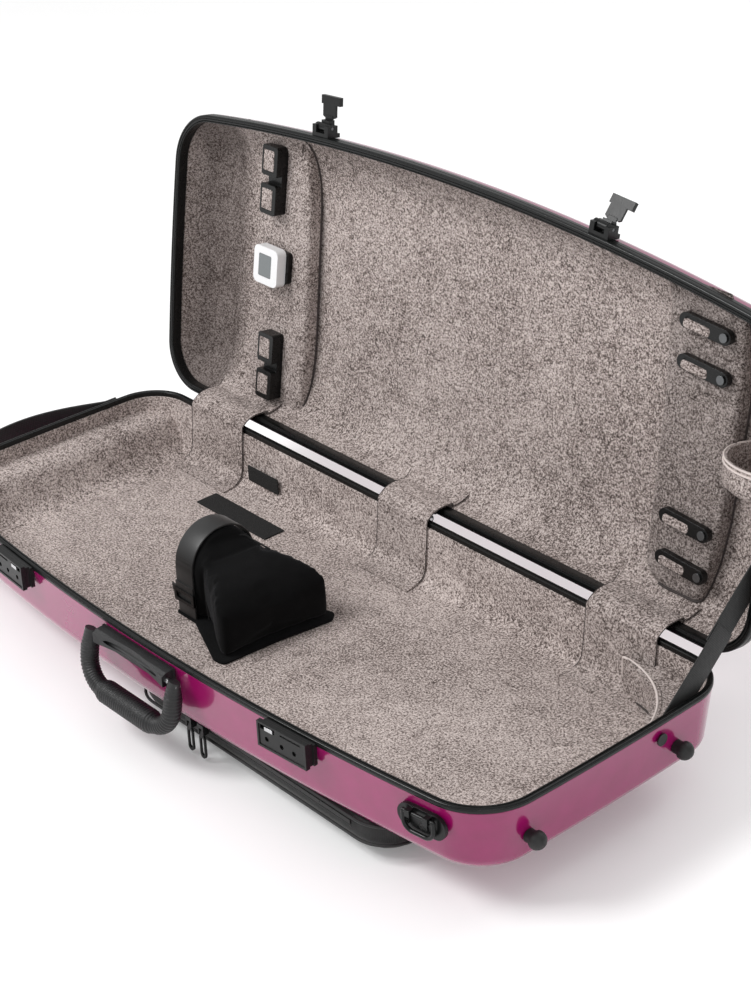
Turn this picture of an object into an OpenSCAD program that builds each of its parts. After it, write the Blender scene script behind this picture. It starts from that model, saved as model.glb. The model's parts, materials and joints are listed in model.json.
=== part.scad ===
// Oblong violin case with a bowed front, standing open on its music pocket.
// X runs along the case, -Y is the front with the handle and locks, +Z is up.
// The origin is the middle of the case in plan, on the surface it rests on.
// Lid parts are drawn on the closed case and turned back to the open pose by opened().

/* [Case] */
// Length of the case over its rims
case_len = 790; // [770:5:810]
// Depth of the case at the middle of the bowed front
case_depth = 314; // [300:2:330]
// How far the front bows out from its ends
front_bow = 31; // [15:1:40]
// How far each end bows out
end_bow = 4; // [2:1:10]
// Radius of the two front corners
front_r = 57; // [50:1:70]
// Radius of the two rear corners
rear_r = 45; // [40:1:60]
// Height of the base shell, from its underside to the rim plane
base_h = 65; // [62:1:75]
// Height of the lid shell above the rim plane
lid_h = 54; // [50:1:65]
// Wall of both shells
shell_t = 2.5; // [2:0.1:3]
// Thickness of the padded lining
lining_t = 3; // [2:0.5:4]

/* [Rims and hinge] */
// Width of the edge trim on both rims
rim_w = 5; // [4:0.5:6]
// Height of the trim on the base
base_rim_h = 5; // [4:0.5:8]
// Height of the trim on the lid
lid_rim_h = 12; // [10:0.5:14]
// Gap between the closed rims
rim_gap = 0.5; // [0.3:0.1:1]
// Distance of the hinge axis behind the rear wall
hinge_back = 5.4; // [5:0.1:7]
// Distance of the hinge axis below the rim plane
hinge_drop = 4.2; // [3:0.1:5]
// How far the lid stands open
lid_angle = 98.6; // [90:0.2:105]
// Length of each hinge
hinge_len = 50; // [40:1:60]
// Radius of the hinge pins
hinge_pin_r = 1.9; // [1.5:0.1:2.2]

/* [Front hardware] */
// Place of the locks along the front, either side of the middle
lock_x = 196; // [188:1:200]
// Width of a lock body
lock_w = 56; // [54:1:58]
// Place of the latches along the lid, either side of the middle
latch_x = 178; // [174:1:182]
// Width of the latch block on the lid
latch_w = 22; // [21:0.5:24]
// Distance from the latch pivot to the near side of its cross bar
latch_reach = 20.5; // [19:0.5:22]
// Width between the outer sides of the handle
handle_w = 137; // [134:1:140]
// Drop from the handle pivots to the middle of the grip
handle_drop = 47; // [42:1:52]
// Lean of the hanging handle, away from the shell
handle_lean = 10; // [8:1:15]
// Place of the shoulder strap fittings, either side of the middle
strap_fitting_x = 335; // [320:1:337]

/* [Music pocket] */
// Thickness of the pocket under the case
pocket_h = 39; // [30:1:45]
// Left end of the pocket
pocket_x_left = -55; // [-70:1:-50]
// Right end of the pocket
pocket_x_right = 288; // [270:1:295]
// Half the depth of the pocket
pocket_half = 136; // [125:1:137]

/* [Lid fittings] */
// Height of the raised panels below the rim plane of the lid
panel_e = 30; // [28:1:32]
// Width of a bow clip
clip_w = 23; // [20:1:26]
// Length of a bow spinner between its round ends
spinner_len = 42; // [36:1:46]
// Side of the hygrometer
meter_w = 36; // [32:1:38]

/* [Hidden] */
$fn = 48;
eps = 0.1;
rim_z = pocket_h + base_h;
floor_z = rim_z - 60;
half_len = case_len / 2;
half_depth = case_depth / 2;
hinge_y = half_depth + hinge_back;
hinge_z = rim_z - hinge_drop;
hinge_xs = [-285, -5, 272];
hinge_cover_ws = [84, 70, 84];
lock_depth = 12;
lock_h = 22;
lock_top = 2;
latch_pivot_out = 9;
latch_pivot_e = 9;
latch_lean = 27.5;
handle_arm_r = 8.5;
handle_grip_r = 11;
handle_corner_r = 25;
handle_out = 9;
handle_z = rim_z - 15;
handle_arm_x = handle_w / 2 - handle_arm_r;
fitting_z = rim_z - 23;
stay_x = half_len - 10;
spinner_pivots = [[308, 261.5], [311, 226.5], [313.5, 89.5], [315, 51.5]];
spinner_tilt = 4;
clip_ds = [249, 60];
clip_xs = [-264, -255];
clip_half = 19.2;
meter_d = 164;
zip_z = pocket_h - 6;
slider_xs = [43, 60];

// ---- plan outline of the case ----

front_R = (half_len * half_len + front_bow * front_bow) / (2 * front_bow);
end_R = (half_depth * half_depth + end_bow * end_bow) / (2 * end_bow);
front_c = [0, front_R - half_depth];
end_c = [half_len - end_R, 0];
front_corner_c = meet(front_c, front_R - front_r, end_c, end_R - front_r);
rear_corner_y = half_depth - rear_r;
rear_corner_c = [
    end_c[0] + sqrt(pow(end_R - rear_r, 2) - rear_corner_y * rear_corner_y), rear_corner_y
];

// Lower right meeting point of two circles
function meet(a, ra, b, rb) =
    let (d = norm(b - a), u = (b - a) / d, along = (ra * ra - rb * rb + d * d) / (2 * d),
         up = sqrt(ra * ra - along * along), side = [-u[1], u[0]],
         p = a + along * u + up * side, q = a + along * u - up * side)
    p[0] > q[0] ? p : q;

function turn(from, to) = atan2(to[1] - from[1], to[0] - from[0]);
function arc(c, r, a0, a1, n) =
    [for (k = [0:n - 1]) let (a = a0 + (a1 - a0) * k / n) c + r * [cos(a), sin(a)]];

a_front = turn(front_c, front_corner_c);
a_end_low = turn(end_c, front_corner_c);
a_end_high = turn(end_c, rear_corner_c);

// Right half of the outline, moved inward by i, from the front middle to the rear straight
function half_ring(i) = concat(
    arc(front_c, front_R - i, -90, a_front, 10),
    arc(front_corner_c, front_r - i, a_front, a_end_low, 10),
    arc(end_c, end_R - i, a_end_low, a_end_high, 4),
    arc(rear_corner_c, rear_r - i, a_end_high, 90, 8),
    [rear_corner_c + [0, rear_r - i]]
);
function whole_ring(i) =
    let (r = half_ring(i), n = len(r))
    concat(r, [for (k = [n - 1:-1:1]) [-r[k][0], r[k][1]]]);

// Past ring_keep the outline shrinks towards the middle, so its corners stay round
ring_keep = 38;
function ring(i) =
    i <= ring_keep ? whole_ring(i) :
    let (sx = (half_len - i) / (half_len - ring_keep),
         sy = (half_depth - i) / (half_depth - ring_keep))
    [for (p = whole_ring(ring_keep)) [p[0] * sx, p[1] * sy]];

// Solid through closed rings of points, lowest ring first
module skin(rings) {
    n = len(rings[0]);
    m = len(rings);
    points = [for (r = rings) each r];
    sides = [for (j = [0:m - 2]) for (k = [0:n - 1])
        let (a = j * n + k, b = j * n + (k + 1) % n)
        each [[a, b + n, b], [a, a + n, b + n]]];
    low = [[for (k = [0:n - 1]) k]];
    high = [[for (k = [n - 1:-1:0]) (m - 1) * n + k]];
    polyhedron(points, concat(sides, low, high));
}

// Solid through case outlines, each level is [height, inset]
module loft(levels) {
    skin([for (l = levels) [for (p = ring(l[1])) [p[0], p[1], l[0]]]]);
}

module band(z0, z1, inset, width) {
    difference() {
        loft([[z0, inset], [z1, inset]]);
        loft([[z0 - 1, inset + width], [z1 + 1, inset + width]]);
    }
}

// Base wall and floor: a drafted wall over a rounded lower edge
base_edge_r = 14;
base_draft = 5;
base_top = rim_z - base_rim_h;
function base_levels(off, top) = concat(
    [for (a = [90:-15:0])
        [pocket_h + base_edge_r - (base_edge_r - off) * sin(a),
         base_draft + base_edge_r - (base_edge_r - off) * cos(a)]],
    [[top, off + base_draft * (base_top - top) / (base_top - pocket_h - base_edge_r)]]
);

// Lid wall and top: a low dome, each level is [height above the rim plane, inset]
lid_dome = [[12, 0], [20, 1], [28, 4], [36, 10], [43, 19], [48, 31], [52, 50], [54, 90]];
function lid_levels(off, start) = concat(
    [[rim_z + start, lid_dome[0][1] + off]],
    [for (l = lid_dome) if (l[0] > 12) [rim_z + (l[0] * lid_h / 54) - off, l[1] + off]]
);

// ---- placing helpers ----

function front_y(x) = front_c[1] - sqrt(front_R * front_R - x * x);
function front_slope(x) = asin(x / front_R);

// Local frame on the front wall: +X along the wall, -Y straight out of it
module at_front(x, z) {
    translate([x, front_y(x), z]) rotate([0, 0, front_slope(x)]) children();
}

// Turns parts drawn on the closed case back to the open pose
module opened() {
    translate([0, hinge_y, hinge_z])
        rotate([-lid_angle, 0, 0])
            translate([0, -hinge_y, -hinge_z]) children();
}

// Local frame in the lid, d from the hinge axis and e above the rim plane, +Z into the lid
module in_lid(x, d, e) {
    opened() translate([x, hinge_y - d, rim_z + e]) children();
}

// Point of the open lid as [y, z]
function open_pt(d, e) =
    let (c = cos(lid_angle), s = sin(lid_angle), h = e + hinge_drop)
    [hinge_y - d * c + h * s, hinge_z + d * s + h * c];

module rod_x(r, x0, x1) {
    translate([x0, 0, 0]) rotate([0, 90, 0]) cylinder(r = r, h = x1 - x0);
}

module box(x0, x1, y0, y1, z0, z1) {
    translate([x0, y0, z0]) cube([x1 - x0, y1 - y0, z1 - z0]);
}

module stadium(len, r, h) {
    linear_extrude(h) union() {
        translate([-len / 2, -r]) square([len, 2 * r]);
        translate([-len / 2, 0]) circle(r);
        translate([len / 2, 0]) circle(r);
    }
}

module round_plate(w, d, h, r) {
    linear_extrude(h) union() {
        translate([-w / 2 + r, -d / 2]) square([w - 2 * r, d]);
        translate([-w / 2, -d / 2 + r]) square([w, d - 2 * r]);
        for (x = [-1, 1]) for (y = [-1, 1])
            translate([x * (w / 2 - r), y * (d / 2 - r)]) circle(r);
    }
}

// Round rod bent into a U in the local XZ plane, its two ends on the X axis
module hanging_loop(half_w, drop, corner_r, rod_r) {
    leg = drop - corner_r;
    bar = half_w - corner_r;
    for (s = [-1, 1]) {
        translate([s * half_w, 0, 0]) sphere(rod_r);
        translate([s * half_w, 0, -leg]) cylinder(r = rod_r, h = leg);
        translate([s * bar, 0, -leg]) rotate([90, 0, 0])
            rotate_extrude(angle = s > 0 ? -90 : 90)
                translate([s * corner_r, 0]) circle(rod_r);
    }
    translate([0, 0, -drop]) rod_x(rod_r, -bar, bar);
}

// ---- base ----

module base_shell() color("#b0115a") difference() {
    loft(base_levels(0, base_top));
    loft(base_levels(shell_t, rim_z));
}

module base_rim() color("#1c1e1f") band(base_top, rim_z, 0, rim_w);

lining_gap = shell_t + 0.2;
inner_off = lining_gap + lining_t;

// Inner surface of the base lining, each level is [height above the floor, inset]
base_hollow = [[0, 30], [0.5, 23], [3, 16], [8, 11.5], [15, 9.5], [60, 5.7]];
module base_cavity(gap) {
    loft([for (l = base_hollow) [floor_z + l[0] + (l[0] < 60 ? gap : 0), l[1] + gap]]);
}

module base_lining() color("#a3968f") difference() {
    loft(base_levels(lining_gap, base_top - eps));
    base_cavity(0);
}

// Soft block cut to the inside of the base by a side profile in X and Z
module base_pad(profile) {
    intersection() {
        base_cavity(0.4);
        rotate([90, 0, 0]) linear_extrude(case_depth, center = true) polygon(profile);
    }
}

module left_end_pad() color("#a3968f") base_pad([
    [-340, pocket_h], [-340, floor_z + 2], [-358, rim_z - 27], [-half_len, rim_z - 20],
    [-half_len, pocket_h]
]);

// Low wedge at the right end, open where the corner compartment stands
module right_end_pad() color("#9b8e87") difference() {
    base_pad([[302, pocket_h], [302, floor_z + 0.8], [388, floor_z + 12], [half_len, pocket_h]]);
    corner_column(0.4);
    box(0, cover_right_edge, cover_front_y, half_depth, floor_z, rim_z);
}

// Padded compartment in the right rear corner, with a scooped front wall
compartment_h = 40;
scoop_c = [286, 46];
scoop_r = 90;
cover_right_edge = hinge_xs[2] + hinge_cover_ws[2] / 2 + 1;
cover_front_y = half_depth - 39;
module corner_column(gap) {
    difference() {
        box(scoop_c[0] - gap, half_len, 58 - gap, half_depth, floor_z - 1, rim_z);
        translate([scoop_c[0], scoop_c[1], floor_z - 2]) cylinder(r = scoop_r - gap, h = 90, $fn = 96);
    }
}

module corner_compartment() color("#a3968f") difference() {
    intersection() {
        base_cavity(0.4);
        corner_column(0);
        box(0, stay_x - 4, 0, half_depth, floor_z + 0.4, floor_z + compartment_h);
    }
    box(0, cover_right_edge, half_depth - 15.5, half_depth, floor_z, rim_z);
    box(0, cover_right_edge, cover_front_y, half_depth, floor_z, floor_z + 7);
}

patch_t = 1.2;
module hook_patches() color("#151515") {
    box(-246, -138, 88, 113, floor_z + 0.4, floor_z + 0.4 + patch_t);
    box(-231, -184, half_depth - 12.6, half_depth - 12.6 + patch_t, rim_z - 50, rim_z - 33);
}

// Foam wedge that carries the neck, high and narrow at its left end
cradle_foot = floor_z + 2.8;
cradle_plan = [[-64, -42], [-34, -54], [-2, -74], [8, -72], [9, -20], [17, 36], [12, 44], [-64, 13]];
cradle_side = [
    [-64, 0], [-64, 69], [-61, 70], [-49, 61], [-26, 58], [-11, 54], [4, 47], [12, 38], [15, 27], [17, 0]
];
module neck_cradle() color("#131313") {
    intersection() {
        translate([0, 0, cradle_foot]) linear_extrude(80) polygon(cradle_plan);
        rotate([90, 0, 0]) linear_extrude(200, center = true)
            translate([0, cradle_foot]) polygon(cradle_side);
    }
    translate([strap_x - strap_w - 1, strap_mid_y, cradle_foot]) rotate([90, 0, 90])
        linear_extrude(strap_w + 4) arch_shape(strap_r - 0.4);
}

cradle_flap_plan = [
    [-93, -53], [-64, -53], [-2, -80], [10, -78], [14, -20], [22, 38], [14, 48], [-64, 24], [-93, 24]
];
module cradle_flap() color("#131313")
    translate([0, 0, floor_z + 0.4]) linear_extrude(2) polygon(cradle_flap_plan);

// Strap over the high end of the wedge, which closes round the neck
strap_x = -65;
strap_w = 25;
strap_t = 2;
strap_r = 34;
strap_leg = 48;
strap_mid_y = -15;
module arch_shape(r) {
    translate([0, strap_leg]) circle(r);
    translate([-r, 0]) square([2 * r, strap_leg]);
}

module cradle_strap() color("#3a3a3c")
    translate([strap_x - strap_w, strap_mid_y, cradle_foot]) rotate([90, 0, 90])
        linear_extrude(strap_w) difference() {
            arch_shape(strap_r + strap_t);
            translate([0, strap_leg]) circle(strap_r);
            translate([-strap_r, -1]) square([2 * strap_r, strap_leg + 1]);
        }

module cradle_buckle() color("#2a2a2c")
    translate([strap_x - strap_w / 2, strap_mid_y - strap_r - strap_t - 0.3, cradle_foot + 20])
        rotate([90, 0, 0]) difference() {
            round_plate(strap_w + 4, 14, 2.2, 2);
            translate([0, 0, -1]) round_plate(strap_w - 3, 7, 5, 1);
        }

// ---- hinges ----

knuckle_r = 4;
knuckle_mid = hinge_len / 6;
module each_hinge() {
    for (x = hinge_xs) translate([x, 0, 0]) children();
}

module hinge_knuckle(x0, x1) {
    translate([0, hinge_y, hinge_z]) rod_x(knuckle_r, x0, x1);
}

module hinge_bore() {
    translate([0, hinge_y, hinge_z]) rod_x(hinge_pin_r + 0.08, -hinge_len, hinge_len);
}

leaf_y = half_depth + 0.1;
module base_hinge_leaves() color("#26282a") each_hinge() difference() {
    union() {
        box(-hinge_len / 2, hinge_len / 2, leaf_y, leaf_y + 1.6, hinge_z - 24, hinge_z - 5);
        for (s = [-1, 1]) {
            x0 = s > 0 ? knuckle_mid + 0.3 : -hinge_len / 2;
            x1 = s > 0 ? hinge_len / 2 : -knuckle_mid - 0.3;
            hinge_knuckle(x0, x1);
            box(x0, x1, leaf_y, leaf_y + 3, hinge_z - 6, hinge_z - 0.5);
        }
    }
    hinge_bore();
}

module lid_hinge_leaves() color("#26282a") opened() each_hinge() difference() {
    union() {
        box(-hinge_len / 2, hinge_len / 2, leaf_y, leaf_y + 1.6, rim_z + 1, rim_z + 15);
        hinge_knuckle(-knuckle_mid, knuckle_mid);
        box(-knuckle_mid, knuckle_mid, leaf_y, leaf_y + 1.6, hinge_z, rim_z + 2);
    }
    hinge_bore();
}

module hinge_pins() color("#9a9da0") each_hinge()
    translate([0, hinge_y, hinge_z]) rod_x(hinge_pin_r, -hinge_len / 2 - 1, hinge_len / 2 + 1);

module hinge_screws() color("#9a9da0") each_hinge()
    for (s = [-1, 1])
        translate([s * 17, leaf_y + 1.6, hinge_z - 15]) rotate([-90, 0, 0]) cylinder(r = 2.6, h = 1);

// Flap of lining cloth from the base floor over the hinge into the lid
cover_t = 1.4;
cover_foot_y = 122;
cover_base_pts = [
    [cover_foot_y, -59.4], [133.5, -58.9], [140.2, -56.5], [144.6, -51.8], [146.8, -45],
    [150.8, -5.5], [150.8, 1], [154, 4], [160, 7.5], [168, 9], [181, 8]
];
cover_lid_pts = [[12.8, 14], [15.8, 22], [21.8, 30]];
function cover_path() = concat(
    [for (p = cover_base_pts) [p[0], rim_z + p[1]]],
    [for (p = cover_lid_pts) open_pt(p[0], p[1])]
);
function offset_dir(path, k) =
    let (a = path[max(k - 1, 0)], b = path[min(k + 1, len(path) - 1)], v = (b - a) / norm(b - a))
    [-v[1], v[0]];
module hinge_cover(k) color("#a3968f") {
    path = cover_path();
    far = [for (j = [len(path) - 1:-1:0]) path[j] + cover_t * offset_dir(path, j)];
    w = hinge_cover_ws[k];
    translate([hinge_xs[k] - w / 2, 0, 0]) rotate([90, 0, 90])
        linear_extrude(w) polygon(concat(path, far));
}

// ---- front hardware on the base ----

// The right lock, and its mirror image on the left
module at_lock(s) {
    at_front(s * lock_x, rim_z) mirror([s > 0 ? 0 : 1, 0, 0]) children();
}

lock_recess = [-24.6, -8.2];
lock_holes = [-17.5, -0.3, 13.8];
frame_t = 0.8;
module lock_bodies() color("#222324") for (s = [-1, 1]) at_lock(s) difference() {
    half_w = lock_w / 2;
    low = lock_top - lock_h - 2;
    union() {
        box(-half_w, half_w, -4, -0.3, low, lock_top - 4);
        box(-half_w + 1, half_w - 1, -8.5, -4, low + 1, lock_top - 2.5);
        box(-half_w, half_w, -lock_depth, -8.5, low, lock_top);
        difference() {
            box(-half_w, half_w, -lock_depth - frame_t, -lock_depth, low, lock_top);
            box(-half_w + 2, half_w - 2, -lock_depth - 2, -lock_depth, low + 2, lock_top - 1.5);
        }
    }
    box(lock_recess[0], lock_recess[1], -lock_depth - 2, -9.5, lock_top - 6.5, lock_top - 2.5);
    box(-1.7, 21.4, -lock_depth - 2, -lock_depth + 1, lock_top - 5, lock_top - 3.2);
    for (x = lock_holes)
        translate([x, -lock_depth - 2, -12.5]) rotate([-90, 0, 0]) cylinder(r = 2.2, h = 4);
}

module release_slider(s) color("#c9ccd0") at_lock(s)
    box(lock_recess[0] + 5.6, lock_recess[1] - 1.8, -lock_depth - 0.8, -9.8, lock_top - 6.2, lock_top - 2.8);

// Backing plate with a leather flap that is deeper at its ends than in the middle
mount_half = 50;
flap_out = [8, 14];
module handle_mount() color("#1b1b1c") at_front(0, 0) difference() {
    union() {
        box(-mount_half - 0.5, mount_half + 0.5, -2.8, -0.3, rim_z - 28, rim_z - 7);
        intersection() {
            translate([0, 0, rim_z - 40]) linear_extrude(40) polygon(concat(
                [[mount_half, -2], [-mount_half, -2]],
                [for (k = [-10:10])
                    [mount_half * k / 10, -flap_out[0] - (flap_out[1] - flap_out[0]) * k * k / 100]]
            ));
            rotate([90, 0, 90]) linear_extrude(3 * mount_half, center = true)
                polygon([[-1, rim_z - 7.5], [-9, rim_z - 8], [-15, rim_z - 11], [-15, rim_z - 19],
                         [-13, rim_z - 20.5], [-1, rim_z - 20]]);
        }
    }
    translate([0, -handle_out, handle_z]) rod_x(2.55, -100, 100);
}

module handle_pins() color("#8d9094") at_front(0, 0)
    for (s = [-1, 1]) translate([0, -handle_out, handle_z])
        rod_x(2.5, s > 0 ? 41 : -66, s > 0 ? 66 : -41);

// Padded grip: two arms, two round corners and the thicker bar, hung on the handle pins
module handle_grip() color("#171718") at_front(0, 0)
    translate([0, -handle_out, handle_z]) rotate([-handle_lean, 0, 0]) difference() {
        bar = handle_arm_x - handle_corner_r;
        union() {
            hanging_loop(handle_arm_x, handle_drop, handle_corner_r, handle_arm_r);
            translate([0, 0, -handle_drop]) rod_x(handle_grip_r, -bar + 4, bar - 4);
        }
        for (s = [-1, 1]) translate([s * (handle_arm_x - 6.8), 0, 0]) rod_x(2.58, -13.2, 13.2);
    }

module each_fitting() {
    for (s = [-1, 1]) at_front(s * strap_fitting_x, fitting_z) mirror([s > 0 ? 0 : 1, 0, 0]) children();
}

ring_pivot_z = 7;
ring_pivot_out = 7.5;
module strap_plates() color("#1d1e1f") each_fitting() difference() {
    union() {
        rotate([90, 0, 0]) translate([0, 0, 0.6]) stadium(26, 11, 3.4);
        for (x = [-9, 9])
            box(x - 2.4, x + 2.4, -ring_pivot_out - 3, -3, ring_pivot_z - 3, ring_pivot_z + 3);
    }
    translate([0, -ring_pivot_out, ring_pivot_z]) rod_x(1.75, -20, 20);
}

module strap_plate_screws() color("#2c2e30") each_fitting()
    for (x = [-15, 3]) translate([x, -4.1, -4]) rotate([90, 0, 0]) difference() {
        cylinder(r = 4, h = 1);
        translate([-3, -0.6, 0.5]) cube([6, 1.2, 2]);
    }

// Oblong ring: a straight bar in the two lugs and a loop hanging from it
ring_half_w = 15;
module strap_ring(s) color("#3c3f42") at_front(s * strap_fitting_x, fitting_z)
    translate([0, -ring_pivot_out, ring_pivot_z]) {
        rod_x(1.65, -ring_half_w, ring_half_w);
        hanging_loop(ring_half_w, 17, 9, 1.9);
    }

foot_r = 8;
module end_feet() color("#161616")
    for (s = [-1, 1]) for (y = [-79, 88]) {
        x = end_c[0] + sqrt(end_R * end_R - y * y) - 2.5;
        translate([s * x, y, rim_z - 37]) rotate([0, s * 90, 0]) {
            cylinder(r = 6, h = 8);
            translate([0, 0, 8.8]) intersection() {
                sphere(foot_r);
                translate([0, 0, -1.8]) cylinder(r = foot_r + 1, h = foot_r + 2);
            }
        }
    }

// Carrying strap bowed over the left end, with a riveted tab at each side
end_strap_r = 150;
end_strap_h = 27;
module end_handle() color("#191919") translate([0, 0, rim_z - end_strap_h]) {
    translate([-half_len - 31 + end_strap_r, 0, 0]) linear_extrude(end_strap_h) difference() {
        circle(end_strap_r, $fn = 120);
        circle(end_strap_r - 4, $fn = 120);
        translate([-end_strap_r + 31, -end_strap_r - 1]) square(2 * end_strap_r + 2);
    }
    for (s = [-1, 1]) translate([-half_len - 2, s * 91, 0]) rotate([0, 0, s * 2])
        box(-1.2, 2, -12, 12, 0, end_strap_h);
}

module end_handle_rivets() color("#8d9094")
    for (y = [-95, 95]) translate([-half_len - 5.2, y, rim_z - 14]) rotate([0, 90, 0]) cylinder(r = 4, h = 1.6);

// Webbing stay between the right end of the base and the lid
stay_low = [80, rim_z - 22];
stay_high = open_pt(97, 21);
stay_w = 25;
module stay_strap() color("#141414") {
    v = (stay_high - stay_low) / norm(stay_high - stay_low);
    n = [-v[1], v[0]] * stay_w / 2;
    a = stay_low - v * 9;
    b = stay_high + v * 12;
    difference() {
        translate([stay_x - 1.6, 0, 0]) rotate([90, 0, 90]) linear_extrude(1.6)
            polygon([a - n, b - n, b + n, a + n]);
        opened() box(0, half_len, 0, half_depth, rim_z + 18.5, rim_z + lid_h);
    }
}

module stay_rivets() color("#202122") {
    translate([stay_x - 3, stay_low[0], stay_low[1]]) rotate([0, 90, 0]) cylinder(r = 5, h = 1.4);
    translate([half_len + 0.2, 66, rim_z - 18]) rotate([0, 90, 0]) cylinder(r = 5.5, h = 1);
}

// ---- music pocket ----

pocket_corner_r = 35;
pocket_mid_x = (pocket_x_left + pocket_x_right) / 2;
pocket_half_x = (pocket_x_right - pocket_x_left) / 2;

// Side of the pocket, each level is [height, inset]
pocket_levels = [[0, 27], [1.5, 20], [5, 12], [10, 5], [17, 0], [pocket_h - 0.3, 0]];
function pocket_ring(i, z) =
    [for (k = [0:31])
        let (q = floor(k / 8), a = q * 90 + (k % 8) * 90 / 7,
             sx = (q == 0 || q == 3) ? 1 : -1, sy = q < 2 ? 1 : -1)
        [pocket_mid_x + sx * (pocket_half_x - pocket_corner_r) + (pocket_corner_r - i) * cos(a),
         sy * (pocket_half - pocket_corner_r) + (pocket_corner_r - i) * sin(a), z]];

module music_pocket() color("#161617")
    skin([for (l = pocket_levels) pocket_ring(l[1], l[0])]);

module pocket_zipper() color("#2a2a2b")
    box(pocket_x_left + 40, pocket_x_right - 40, -pocket_half - 1.6, -pocket_half - 0.1, zip_z - 2, zip_z + 2);

module zip_slider(x) color("#1e1f20")
    translate([x, -pocket_half - 1.8, zip_z]) difference() {
        box(-4, 4, -6, 0, -5, 5);
        translate([0, -4.2, -2.5]) rod_x(1.05, -5, 5);
        box(-1.9, 1.9, -7, -2.4, -6, 1);
    }

// Pull tab with an open loop end, its pin in the slider
module zip_pull(x) color("#26272a")
    translate([x, -pocket_half - 1.8 - 4.2, zip_z - 2.5]) {
        rod_x(1, -3.9, 3.9);
        box(-1.6, 1.6, -1, 1, -5, 0.6);
        translate([0, -1, -15.4]) rotate([-90, 0, 0]) difference() {
            stadium_v(16.7, 3.8, 2);
            translate([0, 0, -1]) stadium_v(14, 2.1, 4);
        }
    }

module stadium_v(len, r, h) {
    rotate([0, 0, 90]) stadium(len, r, h);
}

// ---- lid ----

module lid_shell() color("#b0115a") opened() difference() {
    loft(lid_levels(0, lid_rim_h + eps));
    loft(lid_levels(shell_t, lid_rim_h - 1));
}

module lid_rim() color("#1c1e1f") opened() band(rim_z + rim_gap, rim_z + lid_rim_h, 0, rim_w);

module lid_seal() color("#101112") opened()
    band(rim_z + rim_gap + 0.5, rim_z + lid_rim_h - 1, rim_w + 0.1, 1.5);

module lid_cavity(off) {
    loft(lid_levels(off, -20));
}

module lid_lining() color("#a3968f") opened() difference() {
    loft(lid_levels(lining_gap, lid_rim_h + 0.2));
    lid_cavity(inner_off);
}

// Raised panel cut to the inside of the lid, its plan given as [x, d] corners
module lid_panel(corners) color("#a89b94") opened() intersection() {
    lid_cavity(inner_off + 0.4);
    translate([0, hinge_y, rim_z + panel_e]) mirror([0, 1, 0]) linear_extrude(lid_h) polygon(corners);
}

module left_panel() lid_panel([
    [-294, 22.5], [-213, 22.5], [-213, 100], [-217, 230], [-226, 300], [-294, 300]
]);
module right_panel() lid_panel([
    [248, 22.5], [317, 22.5], [324, 100], [326, 210], [319, 300], [240, 300], [248, 190]
]);

// Two padded jaws with a gap between them for the bow stick
clip_h = 14;
clip_pad = 1;
clip_jaw = 30;
module each_clip() {
    for (k = [0, 1]) in_lid(clip_xs[k], clip_ds[k], panel_e - 0.3) children();
}

module bow_clips() color("#191919") each_clip() difference() {
    union() {
        for (s = [-1, 1]) translate([0, s * clip_half, -clip_h]) round_plate(clip_w, clip_jaw, clip_h, 3);
        box(-clip_w / 2 + 3, clip_w / 2, -8, 8, -7, 0);
    }
    for (s = [-1, 1]) translate([-1.5, s * clip_half, -clip_h - 1])
        round_plate(clip_w - 7, clip_jaw - 9, 1 + clip_pad, 1.5);
}

module bow_clip_pads() color("#a89b94") each_clip()
    for (s = [-1, 1]) translate([-1.5, s * clip_half, -clip_h - 0.2])
        round_plate(clip_w - 7.4, clip_jaw - 9.4, clip_pad + 0.1, 1.4);

module at_meter(e) {
    in_lid(-258, meter_d, e) children();
}

module meter_holder() color("#141414") at_meter(panel_e - 0.3) translate([6, 0, -6]) round_plate(30, 32, 6, 4);

module meter_body() color("#f2f2f2") at_meter(panel_e - 6.4) translate([0, 0, -11]) difference() {
    round_plate(meter_w, meter_w + 2, 11, 6);
    translate([-1, 0, -1]) round_plate(19, 23, 1.8, 1.5);
}

module meter_screen() color("#6c7075") at_meter(panel_e - 6.4)
    translate([-1, 0, -11]) round_plate(18.6, 22.6, 0.7, 1.4);

// Turn button with a cloth pad, on a rivet in the right panel
spinner_r = 6.5;
spinner_t = 6;
module at_spinner(k) {
    in_lid(spinner_pivots[k][0], spinner_pivots[k][1], panel_e - 0.6)
        rotate([0, 0, spinner_tilt]) children();
}

module bow_spinner(k) color("#171717") at_spinner(k) difference() {
    union() {
        translate([-spinner_len / 2, 0, -spinner_t - 1.5]) stadium(spinner_len, spinner_r, spinner_t);
        translate([0, 0, -spinner_t]) cylinder(r = 5, h = spinner_t);
    }
    translate([0, 0, -9]) cylinder(r = 2.6, h = 12);
    translate([-spinner_len * 0.7, 0, -spinner_t - 2.5]) stadium(18, 4.2, 1.8);
}

module spinner_rivets() color("#303234")
    for (k = [0:3]) at_spinner(k) {
        translate([0, 0, -8]) cylinder(r = 2.55, h = 8.4);
        translate([0, 0, -9.2]) cylinder(r = 4, h = 1.4);
    }

// Round pocket for a tube, sewn to the right end of the lid and open at the top
tube_at = [371, 146];
tube_e = 30;
tube_r = 42;
tube_wall = 3;
tube_len = 30;
module tube_pocket() color("#a89b94") opened() intersection() {
    lid_cavity(inner_off + 0.4);
    translate([tube_at[0], hinge_y - tube_at[1], rim_z + tube_e]) rotate([90, 0, 0]) difference() {
        cylinder(r = tube_r, h = tube_len, $fn = 64);
        translate([0, 0, tube_wall]) cylinder(r = tube_r - tube_wall, h = tube_len, $fn = 64);
    }
}

// ---- lid latches ----

module at_latch(x) {
    opened() at_front(x, rim_z) children();
}

latch_pin_r = 1.5;
latch_knuckle_r = 4;
latch_slot = 5.8;
module at_latch_pivot(x) {
    at_latch(x) translate([0, -latch_pivot_out, latch_pivot_e]) children();
}

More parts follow.
